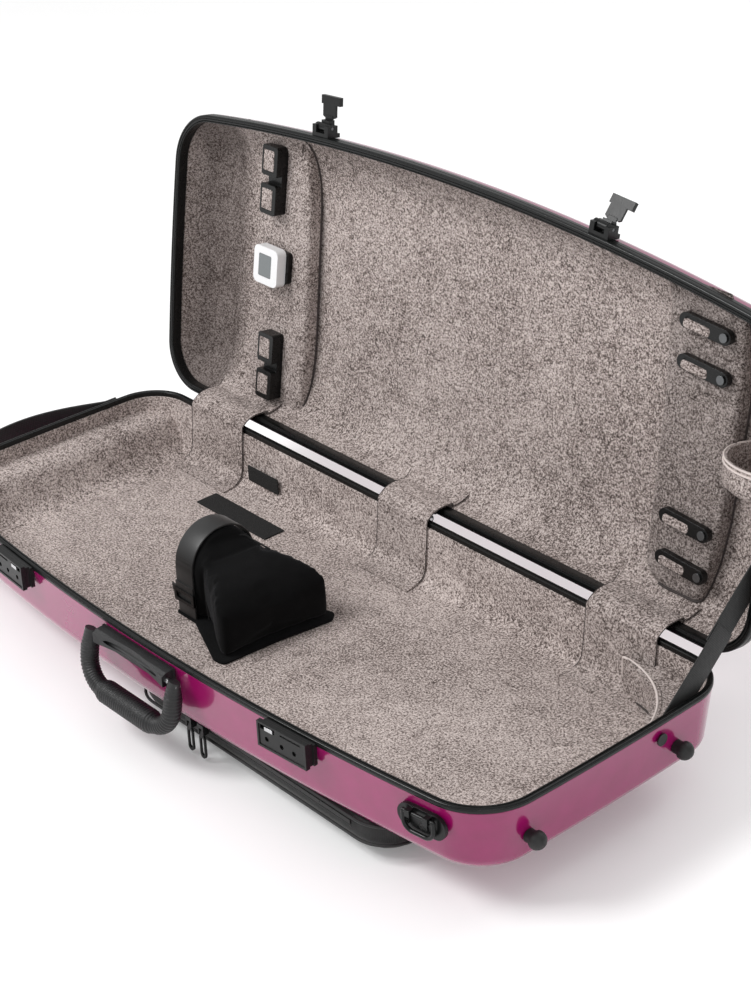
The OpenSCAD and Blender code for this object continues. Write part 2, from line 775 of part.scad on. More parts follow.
module latch_blocks() color("#232425") for (s = [-1, 1]) at_latch(s * latch_x) difference() {
    half_w = latch_w / 2;
    union() {
        box(-half_w, half_w, -latch_pivot_out - 2.6, -0.3, 3, 15);
        box(-half_w, half_w, -4.2, -0.3, 3, 18);
        for (t = [-1, 1]) translate([t * (half_w - 3), -latch_pivot_out, latch_pivot_e])
            rod_x(latch_knuckle_r, -2.4, 2.4);
    }
    translate([0, -latch_pivot_out, latch_pivot_e]) {
        box(-latch_slot, latch_slot, -12, latch_knuckle_r + 0.7, -12, 12);
        rod_x(latch_pin_r + 0.02, -half_w - 1, half_w + 1);
    }
}

module latch_pins() color("#6d7073")
    for (s = [-1, 1]) at_latch_pivot(s * latch_x) rod_x(latch_pin_r, 0.3 - latch_w / 2, latch_w / 2 - 0.3);

// Swinging latch plate with a cross bar at its end, turned back by lean
latch_plate_off = 5;
latch_plate_t = 2.2;
latch_bar = [26, 8, 4];
latch_bar_shift = 1.7;
module latch_flap(x, lean) color("#2b2c2d") at_latch_pivot(x) rotate([-lean, 0, 0]) difference() {
    union() {
        rod_x(latch_knuckle_r, -latch_slot + 0.4, latch_slot - 0.4);
        box(-latch_slot + 0.6, latch_slot - 0.6, -6.5, 0, 0, latch_plate_off + latch_plate_t);
        box(-latch_slot + 0.6, latch_slot - 0.6, -10.5, -6, latch_plate_off - 0.5, latch_plate_off + 1);
        translate([0, 0, latch_plate_off]) linear_extrude(latch_plate_t) polygon([
            [-3.5, -10], [-6.5, -8], [-9, -9.5], [-9, -latch_reach - 1],
            [9, -latch_reach - 1], [9, -9.5], [6.5, -8], [3.5, -10]
        ]);
        translate([latch_bar_shift - latch_bar[0] / 2, -latch_reach - latch_bar[1], latch_plate_off])
            cube(latch_bar);
    }
    rod_x(latch_pin_r + 0.06, -20, 20);
}

// ---- the whole case ----

base_shell();
base_rim();
base_lining();
left_end_pad();
right_end_pad();
corner_compartment();
hook_patches();
neck_cradle();
cradle_flap();
cradle_strap();
cradle_buckle();
base_hinge_leaves();
hinge_pins();
hinge_screws();
hinge_cover(0);  // hinge_cover_left
hinge_cover(1);  // hinge_cover_middle
hinge_cover(2);  // hinge_cover_right
lock_bodies();
release_slider(-1);  // left_release_slider
release_slider(1);  // right_release_slider
handle_mount();
handle_pins();
handle_grip();
strap_plates();
strap_plate_screws();
strap_ring(-1);  // left_strap_ring
strap_ring(1);  // right_strap_ring
end_feet();
end_handle();
end_handle_rivets();
stay_strap();
stay_rivets();
music_pocket();
pocket_zipper();
zip_slider(slider_xs[0]);  // left_zip_slider
zip_slider(slider_xs[1]);  // right_zip_slider
zip_pull(slider_xs[0]);  // left_zip_pull
zip_pull(slider_xs[1]);  // right_zip_pull
lid_shell();
lid_rim();
lid_seal();
lid_lining();
left_panel();
right_panel();
bow_clips();
bow_clip_pads();
meter_holder();
meter_body();
meter_screen();
bow_spinner(0);  // bow_spinner_1
bow_spinner(1);  // bow_spinner_2
bow_spinner(2);  // bow_spinner_3
bow_spinner(3);  // bow_spinner_4
spinner_rivets();
tube_pocket();
latch_blocks();
latch_pins();
latch_flap(-latch_x, 0);  // left_latch
latch_flap(latch_x, latch_lean);  // right_latch
lid_hinge_leaves();
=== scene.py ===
"""Looks of the open violin case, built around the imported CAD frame."""
import json
import math

import bmesh
import bpy
from mathutils import Matrix, Vector, noise


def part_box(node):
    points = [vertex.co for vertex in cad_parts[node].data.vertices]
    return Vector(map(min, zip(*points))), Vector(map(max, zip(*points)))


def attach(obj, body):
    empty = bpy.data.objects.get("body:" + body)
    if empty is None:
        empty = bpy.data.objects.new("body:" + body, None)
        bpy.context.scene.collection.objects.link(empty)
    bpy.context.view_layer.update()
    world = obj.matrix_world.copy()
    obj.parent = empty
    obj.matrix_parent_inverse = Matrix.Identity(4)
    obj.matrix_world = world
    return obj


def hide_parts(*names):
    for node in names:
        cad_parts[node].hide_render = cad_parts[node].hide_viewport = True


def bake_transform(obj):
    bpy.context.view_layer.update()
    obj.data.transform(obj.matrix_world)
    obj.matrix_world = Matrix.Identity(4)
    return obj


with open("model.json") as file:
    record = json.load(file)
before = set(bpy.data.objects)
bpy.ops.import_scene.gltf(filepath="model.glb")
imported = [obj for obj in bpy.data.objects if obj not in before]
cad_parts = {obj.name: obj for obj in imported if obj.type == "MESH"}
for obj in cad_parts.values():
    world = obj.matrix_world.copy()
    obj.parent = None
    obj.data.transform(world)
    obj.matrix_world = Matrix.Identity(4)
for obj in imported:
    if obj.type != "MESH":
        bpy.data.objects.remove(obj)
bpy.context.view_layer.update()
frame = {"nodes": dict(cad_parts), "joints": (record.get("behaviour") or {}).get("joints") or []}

# ---- sizes, in millimetres
MM = 0.001
X_AXIS = Vector((1, 0, 0))


def box_mm(node):
    """Lowest and highest corner of a CAD node at rest, in millimetres."""
    low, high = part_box(node)
    return low / MM, high / MM


RIM_Z = box_mm("base_rim")[1].z
HALF_LEN = round(box_mm("base_rim")[1].x)
HALF_DEPTH = box_mm("base_rim")[1].y
POCKET_H = box_mm("base_shell")[0].z
FLOOR_Z = RIM_Z - 60
LID_HINGE = next(j for j in frame["joints"] if j["name"] == "lid_hinge")
HINGE_Y = LID_HINGE["pos_m"][1] / MM
HINGE_Z = LID_HINGE["pos_m"][2] / MM
LID_ANGLE = math.radians(LID_HINGE["range_deg"][1])
FRONT_BOW, END_BOW, FRONT_R, REAR_R = 31, 4, 57, 45
ARC_FRONT = (HALF_LEN**2 + FRONT_BOW**2) / (2 * FRONT_BOW)
ARC_END = (HALF_DEPTH**2 + END_BOW**2) / (2 * END_BOW)

OPEN = (
    Matrix.Translation((0, HINGE_Y, HINGE_Z))
    @ Matrix.Rotation(-LID_ANGLE, 4, "X")
    @ Matrix.Translation((0, -HINGE_Y, -HINGE_Z))
)


def lid_point(x, d, e):
    """Point of the open lid, d from the hinge axis and e above the rim plane."""
    return OPEN @ Vector((x, HINGE_Y - d, RIM_Z + e))


# ---- outline of the case
def circle_meet(a, ra, b, rb):
    d = (b - a).length
    u = (b - a) / d
    along = (ra * ra - rb * rb + d * d) / (2 * d)
    up = math.sqrt(ra * ra - along * along)
    side = Vector((-u.y, u.x))
    return max((a + along * u + up * side, a + along * u - up * side), key=lambda p: p.x)


FRONT_C = Vector((0, ARC_FRONT - HALF_DEPTH))
END_C = Vector((HALF_LEN - ARC_END, 0))
CORNER_C = circle_meet(FRONT_C, ARC_FRONT - FRONT_R, END_C, ARC_END - FRONT_R)
REAR_Y = HALF_DEPTH - REAR_R
REAR_C = Vector((END_C.x + math.sqrt((ARC_END - REAR_R) ** 2 - REAR_Y**2), REAR_Y))


def turn_to(a, b):
    return math.atan2(b.y - a.y, b.x - a.x)


A_FRONT = turn_to(FRONT_C, CORNER_C)
A_LOW = turn_to(END_C, CORNER_C)
A_HIGH = turn_to(END_C, REAR_C)
RING_KEEP = 38


def arc(c, r, a0, a1, n):
    return [
        c + r * Vector((math.cos(a0 + (a1 - a0) * k / n), math.sin(a0 + (a1 - a0) * k / n)))
        for k in range(n)
    ]


def full_ring(i):
    half = arc(FRONT_C, ARC_FRONT - i, -math.pi / 2, A_FRONT, 44)
    half += arc(CORNER_C, FRONT_R - i, A_FRONT, A_LOW, 22)
    half += arc(END_C, ARC_END - i, A_LOW, A_HIGH, 14)
    half += arc(REAR_C, REAR_R - i, A_HIGH, math.pi / 2, 18)
    rear = REAR_C + Vector((0, REAR_R - i))
    half += [Vector((rear.x * (1 - k / 40), rear.y)) for k in range(40)]
    mirrored = [Vector((-p.x, p.y)) for p in reversed(half[1:])]
    return half + [Vector((0, rear.y))] + mirrored


def ring(i):
    """Closed plan outline, moved inward by i."""
    if i <= RING_KEEP:
        return full_ring(i)
    sx = (HALF_LEN - i) / (HALF_LEN - RING_KEEP)
    sy = (HALF_DEPTH - i) / (HALF_DEPTH - RING_KEEP)
    return [Vector((p.x * sx, p.y * sy)) for p in full_ring(RING_KEEP)]


def front_y(x):
    return FRONT_C.y - math.sqrt(ARC_FRONT**2 - x * x)


def wobble(p, size, seed=0.0):
    """Smooth noise between about -1 and 1, features as large as size."""
    q = Vector(p) / size
    return noise.noise(q + Vector((seed, seed * 1.7, seed * 0.3)))


# ---- camera
CAM_AZ, CAM_EL, CAM_ROLL = math.radians(49.82), math.radians(28.76), math.radians(-2.59)
CAM_DIST, CAM_RIGHT, CAM_UP = 2.026, 0.0841, 0.0640
CAM_LENS, CAM_SENSOR = 82.04, 36.0


def add_camera():
    away = Vector((
        math.sin(CAM_AZ) * math.cos(CAM_EL),
        -math.cos(CAM_AZ) * math.cos(CAM_EL),
        math.sin(CAM_EL),
    ))
    right = (-away).cross(Vector((0, 0, 1))).normalized()
    up = right.cross(-away)
    c, s = math.cos(CAM_ROLL), math.sin(CAM_ROLL)
    right, up = c * right + s * up, -s * right + c * up
    place = Vector((0, 0, RIM_Z * MM)) + away * CAM_DIST + right * CAM_RIGHT + up * CAM_UP
    data = bpy.data.cameras.new("camera")
    data.lens, data.sensor_width = CAM_LENS, CAM_SENSOR
    data.clip_end = 50
    cam = bpy.data.objects.new("camera", data)
    turn = Matrix((right, up, away)).transposed().to_4x4()
    cam.matrix_world = Matrix.Translation(place) @ turn
    bpy.context.scene.collection.objects.link(cam)
    bpy.context.scene.camera = cam


add_camera()


# ---- materials
class Nodes:
    """Short hand for building one node material."""

    def __init__(self, name, **sockets):
        self.mat = bpy.data.materials.new(name)
        self.mat.use_nodes = True
        self.tree = self.mat.node_tree
        self.bsdf = self.tree.nodes["Principled BSDF"]
        coord = self.tree.nodes.new("ShaderNodeTexCoord")
        self.coord = coord.outputs["Object"]
        for key, value in sockets.items():
            self.bsdf.inputs[key.replace("_", " ")].default_value = value

    def node(self, kind, inputs=None, **props):
        n = self.tree.nodes.new("ShaderNode" + kind)
        for key, value in props.items():
            setattr(n, key, value)
        for key, value in (inputs or {}).items():
            if hasattr(value, "is_output"):
                self.tree.links.new(value, n.inputs[key])
            else:
                n.inputs[key].default_value = value
        return n

    def noise(self, scale, detail=4.0, rough=0.5, distortion=0.0, vector=None):
        n = self.node(
            "TexNoise",
            {"Vector": vector or self.coord, "Scale": scale, "Detail": detail,
             "Roughness": rough, "Distortion": distortion},
        )
        return n.outputs["Fac"]

    def voronoi(self, scale, feature="F1", vector=None, out="Distance"):
        n = self.node("TexVoronoi", {"Vector": vector or self.coord, "Scale": scale}, feature=feature)
        return n.outputs[out]

    def wave(self, scale, direction, distortion=0.0, profile="SIN", vector=None):
        n = self.node(
            "TexWave",
            {"Vector": vector or self.coord, "Scale": scale, "Distortion": distortion},
            bands_direction=direction, wave_profile=profile,
        )
        return n.outputs["Fac"]

    def math(self, op, a, b=0.0, clamp=False):
        n = self.node("Math", {0: a, 1: b}, operation=op, use_clamp=clamp)
        return n.outputs[0]

    def ramp(self, fac, stops):
        n = self.node("ValToRGB", {"Fac": fac})
        while len(n.color_ramp.elements) < len(stops):
            n.color_ramp.elements.new(0.5)
        for element, (place, colour) in zip(n.color_ramp.elements, stops):
            element.position = place
            element.color = tuple(colour) + (1,) if len(colour) == 3 else colour
        return n.outputs["Color"]

    def span(self, fac, low, high):
        n = self.node("MapRange", {"Value": fac, "To Min": low, "To Max": high})
        return n.outputs["Result"]

    def mix(self, fac, a, b, mode="MIX"):
        n = self.node("Mix", {0: fac, 6: a, 7: b}, data_type="RGBA", blend_type=mode)
        return n.outputs[2]

    def link(self, out, socket):
        self.tree.links.new(out, self.bsdf.inputs[socket])

    def bump(self, height, strength, distance, normal=None):
        inputs = {"Height": height, "Strength": strength, "Distance": distance}
        if normal is not None:
            inputs["Normal"] = normal
        return self.node("Bump", inputs).outputs["Normal"]

    def soft_edges(self, radius):
        return self.node("Bevel", {"Radius": radius}, samples=4).outputs["Normal"]


def grey(v, tint=(1, 1, 1)):
    return tuple(v * t for t in tint)


def make_suede(name="suede", painted_shade_factor=1.0, channel_shade_band=None):
    """Brushed suede cloth: fine dense speckle, short dark creases and soft clouds.

    The last argument gives the X at which a band of painted shade, for the shaded sunk channel, rises and
    falls, in metres, and its strength; the factor before it darkens the whole cloth as painted shade.
    """
    m = Nodes(name, Roughness=0.93, Sheen_Weight=0.12, Sheen_Roughness=0.5)
    m.bsdf.inputs["Sheen Tint"].default_value = (0.9, 0.82, 0.78, 1)
    m.bsdf.inputs["Specular IOR Level"].default_value = 0.2
    grain = m.noise(520, 2, 0.7)
    specks = m.noise(1250, 2, 0.7)
    clouds = m.noise(70, 5, 0.65, 0.8)
    patches = m.noise(8, 3, 0.5, 0.6)
    warp = m.node("TexNoise", {"Vector": m.coord, "Scale": 30.0, "Detail": 4.0}).outputs["Color"]
    warp = m.node("VectorMath", {0: warp, 1: (0.034, 0.034, 0.034)}, operation="MULTIPLY").outputs[0]
    bend = m.node("VectorMath", {0: m.coord, 1: warp}, operation="ADD").outputs[0]
    lines = m.voronoi(38, "DISTANCE_TO_EDGE", vector=bend)
    crease = m.node("MapRange", {"Value": lines, "From Min": 0.0, "From Max": 0.055,
                                 "To Min": 1.0, "To Max": 0.0})
    broken = m.node("MapRange", {"Value": m.noise(42, 3, 0.6), "From Min": 0.5, "From Max": 0.62})
    crease = m.math("MULTIPLY", crease.outputs["Result"], broken.outputs["Result"])
    tone = m.math("ADD", m.math("MULTIPLY", grain, 0.44), m.math("MULTIPLY", specks, 0.34))
    tone = m.math("ADD", tone, m.math("MULTIPLY", clouds, 0.09))
    tone = m.math("ADD", tone, m.math("MULTIPLY", patches, 0.08))
    tone = m.math("ADD", tone, 0.045)
    tone = m.math("SUBTRACT", tone, m.math("MULTIPLY", crease, 0.032))
    # painted shade: the whole cloth is darkened by this factor, for how much light falls on the part it lines
    k = painted_shade_factor
    colour = m.ramp(tone, [
        (0.425, (0.040 * k, 0.028 * k, 0.025 * k)),
        (0.487, (0.180 * k, 0.144 * k, 0.132 * k)),
        (0.530, (0.420 * k, 0.355 * k, 0.333 * k)),
        (0.600, (0.700 * k, 0.615 * k, 0.585 * k)),
    ])
    # painted shade: a darker band along X where the lid lining sinks into its shaded channel
    if channel_shade_band:
        x = m.node("SeparateXYZ", {0: m.coord}).outputs[0]
        x0, x1, x2, x3, depth = channel_shade_band
        rise = m.node("MapRange", {"Value": x, "From Min": x0, "From Max": x1}).outputs["Result"]
        fall = m.node("MapRange", {"Value": x, "From Min": x2, "From Max": x3,
                                   "To Min": 1.0, "To Max": 0.0}).outputs["Result"]
        dark = m.math("MULTIPLY", m.math("MULTIPLY", rise, fall), depth)
        colour = m.mix(dark, colour, (0.03, 0.021, 0.019, 1))
    m.link(colour, "Base Color")
    height = m.math("ADD", m.math("MULTIPLY", grain, 0.7), m.math("MULTIPLY", clouds, 0.8))
    height = m.math("SUBTRACT", height, m.math("MULTIPLY", crease, 0.5))
    m.link(m.bump(height, 0.8, 0.0012), "Normal")
    return m.mat


def make_lacquer():
    m = Nodes("lacquer", Roughness=0.3, IOR=1.4)
    m.bsdf.inputs["Coat Weight"].default_value = 0.8
    m.bsdf.inputs["Coat Roughness"].default_value = 0.045
    m.bsdf.inputs["Coat IOR"].default_value = 1.5
    depth = m.noise(55, 4, 0.5)
    m.link(m.ramp(depth, [(0.3, (0.235, 0.0025, 0.082)), (0.7, (0.265, 0.003, 0.094))]), "Base Color")
    fine = m.noise(900, 2, 0.5)
    m.link(m.span(fine, 0.18, 0.27), "Roughness")
    m.link(m.bump(m.noise(26, 2, 0.4), 0.05, 0.002), "Normal")
    return m.mat


def make_moulding(name, base, rough, edge=0.0006, tint=(1, 1, 1), wear=0.5):
    """Black moulded or lacquered parts: uneven sheen, fine grain and softened edges."""
    m = Nodes(name, Roughness=rough)
    m.bsdf.inputs["Specular IOR Level"].default_value = 0.3
    cloud = m.noise(40, 4, 0.6)
    m.link(m.ramp(cloud, [(0.3, grey(base * 0.8, tint)), (0.75, grey(base * 1.35, tint))]), "Base Color")
    scuff = m.noise(260, 5, 0.7, 0.5)
    m.link(m.span(scuff, rough - 0.12 * wear, rough + 0.18 * wear), "Roughness")
    normal = m.soft_edges(edge) if edge else None
    m.link(m.bump(m.noise(1400, 2, 0.5), 0.12 * wear, 0.0002, normal), "Normal")
    return m.mat


def make_metal(name, colour, rough):
    m = Nodes(name, Metallic=1.0, Roughness=rough)
    m.link(m.ramp(m.noise(90, 3), [(0.3, grey(0.85, colour)), (0.8, colour)]), "Base Color")
    m.link(m.span(m.noise(500, 4, 0.7), rough * 0.7, rough * 1.4), "Roughness")
    m.link(m.soft_edges(0.0004), "Normal")
    return m.mat


def make_leather():
    m = Nodes("leather", Roughness=0.42, Specular_IOR_Level=0.5)
    cells = m.voronoi(620, "F1")
    cracks = m.voronoi(620, "DISTANCE_TO_EDGE")
    m.link(m.ramp(m.noise(60, 4), [(0.3, (0.003, 0.003, 0.0035)), (0.8, (0.009, 0.009, 0.01))]), "Base Color")
    m.link(m.span(m.noise(150, 4, 0.6), 0.32, 0.55), "Roughness")
    height = m.math("ADD", cells, m.math("MULTIPLY", m.math("MINIMUM", cracks, 0.08), 6.0))
    m.link(m.bump(height, 0.35, 0.0005), "Normal")
    return m.mat


def make_velvet():
    m = Nodes("velvet", Roughness=0.95, Sheen_Weight=0.12, Sheen_Roughness=0.35)
    m.bsdf.inputs["Sheen Tint"].default_value = (0.55, 0.56, 0.6, 1)
    m.bsdf.inputs["Specular IOR Level"].default_value = 0.15
    blacks = [(0.35, (0.0016, 0.0016, 0.0018)), (0.8, (0.0045, 0.0045, 0.0048))]
    m.link(m.ramp(m.noise(30, 4, 0.6, 0.8), blacks), "Base Color")
    pile = m.noise(1500, 3, 0.7)
    m.link(m.bump(pile, 0.6, 0.0006), "Normal")
    return m.mat


def make_webbing(name, axes, base=0.006, pitch=0.0016, sheen=0.08):
    """Ribbed weave; axes are the two object axes the threads run along."""
    m = Nodes(name, Roughness=0.6, Sheen_Weight=sheen)
    a = m.wave(0.32 / pitch, axes[0])
    b = m.wave(0.32 / pitch, axes[1])
    weave = m.math("MULTIPLY", a, b)
    m.link(m.ramp(weave, [(0.0, grey(base * 0.45)), (0.8, grey(base * 1.5))]), "Base Color")
    m.link(m.span(m.noise(300, 3), 0.5, 0.75), "Roughness")
    m.link(m.bump(weave, 0.5, 0.0004), "Normal")
    return m.mat


def make_satin():
    m = Nodes("satin", Roughness=0.42, Sheen_Weight=0.15, Sheen_Roughness=0.3)
    ribs = m.wave(420, "Y")
    m.link(m.ramp(ribs, [(0.0, grey(0.012)), (1.0, grey(0.022))]), "Base Color")
    m.link(m.span(m.noise(200, 3), 0.34, 0.5), "Roughness")
    m.link(m.bump(ribs, 0.15, 0.0003), "Normal")
    return m.mat


def make_hooks():
    m = Nodes("hooks", Roughness=0.8)
    dots = m.voronoi(900, "F1")
    m.link(m.ramp(dots, [(0.1, grey(0.002)), (0.7, grey(0.007))]), "Base Color")
    m.link(m.bump(dots, 0.9, 0.001), "Normal")
    return m.mat


def make_rubber():
    m = Nodes("foot_rubber", Roughness=0.5)
    m.link(m.ramp(m.noise(200, 4), [(0.3, grey(0.003)), (0.8, grey(0.007))]), "Base Color")
    m.link(m.span(m.noise(500, 3), 0.4, 0.65), "Roughness")
    m.link(m.bump(m.noise(900, 3), 0.2, 0.0003), "Normal")
    return m.mat


def make_plain(name, colour, rough, fine=700):
    m = Nodes(name, Roughness=rough)
    m.link(m.ramp(m.noise(fine, 3), [(0.2, grey(0.93, colour)), (0.8, colour)]), "Base Color")
    m.link(m.bump(m.noise(fine * 1.5, 2), 0.1, 0.0002, m.soft_edges(0.0006)), "Normal")
    return m.mat


# Copies of one suede, each darkened by its own factor as painted shade for how light falls on its parts; the
# lid copy also carries a painted shade band at its left channel
SUEDE = make_suede()
SUEDE_LID = make_suede("suede_lid", 0.89, (-0.392, -0.376, -0.338, -0.318, 0.6))
SUEDE_PANEL = make_suede("suede_panel", 0.84)
# painted shade: the darkest copy, for the right panel lying in shade
SUEDE_PAINTED_SHADE = make_suede("suede_shaded", 0.59)
SUEDE_COVER = make_suede("suede_cover", 0.88)
LACQUER = make_lacquer()
TRIM = make_moulding("trim_black", 0.0035, 0.27, 0, (0.9, 1.05, 1.05), 0.5)
HARDWARE = make_moulding("hardware_black", 0.0045, 0.28, 0.0005, (0.95, 1.0, 1.02), 0.6)
PLASTIC = make_moulding("plastic_black", 0.003, 0.27, 0.0008, (1, 1, 1), 0.5)
STEEL = make_metal("steel", (0.62, 0.62, 0.63), 0.28)
DARK_STEEL = make_metal("dark_steel", (0.16, 0.165, 0.17), 0.34)
LEATHER = make_leather()
VELVET = make_velvet()
VELVET_EDGE = make_moulding("velvet_edge", 0.012, 0.8, 0, (1, 1, 1), 0.3)
WEB_YZ = make_webbing("webbing_stay", ("Y", "Z"))
WEB_XY = make_webbing("webbing_end", ("Y", "Z"), 0.008, 0.002)
POCKET_CLOTH = make_webbing("pocket_cloth", ("X", "Z"), 0.006, 0.0012, 0.08)
SATIN = make_satin()
HOOKS = make_hooks()
RUBBER = make_rubber()
WHITE = make_plain("meter_white", (0.82, 0.82, 0.83), 0.4)
SCREEN = make_plain("meter_grey", (0.16, 0.175, 0.18), 0.2)
PIPING = make_plain("piping_pale", (0.66, 0.58, 0.55), 0.8)
# dark colour for hem lines, and for painted shadow lines in the gaps at the foot of the panels and the corner
# wall
THREAD_AND_SHADOW = make_plain("thread_and_shadow", (0.05, 0.04, 0.038), 0.9)


# ---- mesh helpers
def add_mesh(name, verts, faces, material, body, cad=(), smooth=35, lid=False):
    """One piece from points in millimetres; lid pieces are given on the closed case."""
    mesh = bpy.data.meshes.new(name)
    place = OPEN if lid else Matrix.Identity(4)
    mesh.from_pydata([(place @ Vector(v)) * MM for v in verts], [], faces)
    mesh.validate()
    bm = bmesh.new()
    bm.from_mesh(mesh)
    bmesh.ops.recalc_face_normals(bm, faces=bm.faces)
    bm.to_mesh(mesh)
    bm.free()
    mesh.polygons.foreach_set("use_smooth", [True] * len(mesh.polygons))
    mesh.set_sharp_from_angle(angle=math.radians(smooth))
    mesh.materials.append(material)
    piece = bpy.data.objects.new(name, mesh)
    bpy.context.scene.collection.objects.link(piece)
    if body:
        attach(piece, body)
    if cad:
        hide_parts(*cad)
    return piece


def strip(rings, closed_ring=True, cap_ends=True, loop=False):
    """Vertices and faces joining rings of equal length."""
    n = len(rings[0])
    verts = [p for r in rings for p in r]
    faces = []
    count = len(rings)
    for j in range(count if loop else count - 1):
        a, b = j * n, ((j + 1) % count) * n
        for k in range(n if closed_ring else n - 1):
            m = (k + 1) % n
            faces.append((a + k, a + m, b + m, b + k))
    if cap_ends and not loop:
        faces.append(tuple(reversed(range(n))))
        faces.append(tuple(range((count - 1) * n, count * n)))
    return verts, faces


def sweep(name, section, material, body, cad, lid=False, loop=True, soft=None, smooth=35):
    """Piece whose cross-section, a list of (z, inset), follows the case outline."""
    rings = []
    for z, inset in section:
        pts = []
        for p in ring(inset):
            v = Vector((p.x, p.y, z))
            if soft:
                v = soft(v, inset)
            pts.append(v)
        rings.append(pts)
    verts, faces = strip(rings, loop=loop)
    return add_mesh(name, verts, faces, material, body, cad, smooth, lid)


def path_frames(path, closed=False, up=Vector((0, 0, 1))):
    """Tangent, side and normal at each point of a path."""
    out = []
    n = len(path)
    for k, p in enumerate(path):
        a = path[(k - 1) % n] if closed or k > 0 else p
        b = path[(k + 1) % n] if closed or k < n - 1 else p
        t = (b - a).normalized()
        side = t.cross(up)
        if side.length < 1e-4:
            side = t.cross(Vector((0, 1, 0)))
        side.normalize()
        out.append((p, t, side, side.cross(t).normalized()))
    return out


def along(path, section, closed=False, up=Vector((0, 0, 1)), scale=None):
    """Vertices and faces of a section, a list of (side, normal), carried along a path."""
    rings = []
    for k, (p, t, side, normal) in enumerate(path_frames(path, closed, up)):
        s = scale(k / max(1, len(path) - 1)) if scale else 1.0
        rings.append([p + side * a * s + normal * b * s for a, b in section])
    return strip(rings, loop=closed)


def round_section(r, sides=10):
    return [
        (r * math.cos(2 * math.pi * k / sides), r * math.sin(2 * math.pi * k / sides))
        for k in range(sides)
    ]


def flat_section(w, t, r=None, n=3):
    """Rounded rectangle section, w along the side and t along the normal."""
    r = r or t * 0.45
    pts = []
    for cx, cy, a0 in ((w / 2 - r, t / 2 - r, 0), (-w / 2 + r, t / 2 - r, 90),
                       (-w / 2 + r, -t / 2 + r, 180), (w / 2 - r, -t / 2 + r, 270)):
        for k in range(n + 1):
            a = math.radians(a0 + 90 * k / n)
            pts.append((cx + r * math.cos(a), cy + r * math.sin(a)))
    return pts


def smooth_path(points, steps=8, closed=False):
    """Catmull-Rom curve through the points."""
    pts = [Vector(p) for p in points]
    n = len(pts)
    out = []
    last = n if closed else n - 1
    for k in range(last):
        p0 = pts[(k - 1) % n] if closed or k > 0 else pts[0] * 2 - pts[1]
        p1, p2 = pts[k], pts[(k + 1) % n]
        p3 = pts[(k + 2) % n] if closed or k + 2 < n else pts[-1] * 2 - pts[-2]
        for j in range(steps):
            t = j / steps
            out.append(0.5 * (2 * p1 + (p2 - p0) * t + (2 * p0 - 5 * p1 + 4 * p2 - p3) * t * t
                              + (3 * p1 - p0 - 3 * p2 + p3) * t**3))
    if not closed:
        out.append(pts[-1])
    return out


def piping(name, path, r, material, body, lid=False, closed=False, sides=8):
    verts, faces = along([Vector(p) for p in path], round_section(r, sides), closed)
    return add_mesh(name, verts, faces, material, body, (), 60, lid)


def dress(node, material):
    """Gives a CAD node its node material."""
    mesh = frame["nodes"][node].data
    mesh.materials.clear()
    mesh.materials.append(material)
    mesh.polygons.foreach_set("material_index", [0] * len(mesh.polygons))


# ---- shells and rims
def arc_levels(z_c, inset_c, r, steps=8):
    """Rounded lower edge, from the underside up to the wall."""
    return [
        (z_c - r * math.sin(math.pi / 2 * k / steps), inset_c - r * math.cos(math.pi / 2 * k / steps))
        for k in range(steps, -1, -1)
    ]


EDGE_R, DRAFT, SHELL_T = 14, 5, 2.5
base_section = [(POCKET_H, 140), (POCKET_H, 90), (POCKET_H, 45)]
base_section += arc_levels(POCKET_H + EDGE_R, DRAFT + EDGE_R, EDGE_R)
base_section += [(76, 2.5), (RIM_Z - 5.6, 0.05), (RIM_Z - 5.1, 0.5), (RIM_Z - 5.1, SHELL_T)]
inner = arc_levels(POCKET_H + EDGE_R, DRAFT + EDGE_R, EDGE_R - SHELL_T)
base_section += list(reversed(inner)) + [(POCKET_H + SHELL_T, 45), (POCKET_H + SHELL_T, 90),
                                         (POCKET_H + SHELL_T, 140)]
sweep("shell_base", base_section, LACQUER, "base", ("base_shell",), loop=False)

rim_section = [(-5, 0.0), (-4.7, -0.45), (-4.2, -0.6), (-2.4, -0.6), (-2.0, -0.3), (-1.6, -0.3),
               (-1.2, -0.55), (-0.6, -0.3), (-0.15, 0.4), (0, 1.1), (-0.1, 1.9), (-0.8, 2.2),
               (-0.8, 2.7), (-0.1, 3.0), (0, 3.7), (-0.2, 4.5), (-0.9, 5.0), (-5, 5.0)]
sweep("rim_base", [(RIM_Z + z, i) for z, i in rim_section], TRIM, "base", ("base_rim",),
      soft=lambda v, i: Vector((v.x, min(v.y, HALF_DEPTH - 0.05), v.z)))

lid_rim_section = [(12, 0), (11.7, -0.45), (11.2, -0.6), (7.2, -0.6), (6.8, -0.2), (6.2, -0.2),
                   (5.8, -0.6), (1.9, -0.6), (1.2, -0.3), (0.65, 0.4), (0.5, 1.1), (0.6, 1.9),
                   (1.3, 2.2), (1.3, 2.7), (0.6, 3.0), (0.5, 3.7), (0.7, 4.5), (1.4, 5.0), (12, 5)]
sweep("rim_lid", [(RIM_Z + z, i) for z, i in lid_rim_section], TRIM, "lid",
      ("lid_rim",), lid=True)
seal_section = [(1.0, 5.4), (0.8, 5.9), (1.0, 6.4), (2.5, 6.9), (6, 6.7), (11, 6.6), (11, 5.1), (2, 5.1)]
sweep("seal_lid", [(RIM_Z + z, i) for z, i in seal_section], TRIM, "lid",
      ("lid_seal",), lid=True)

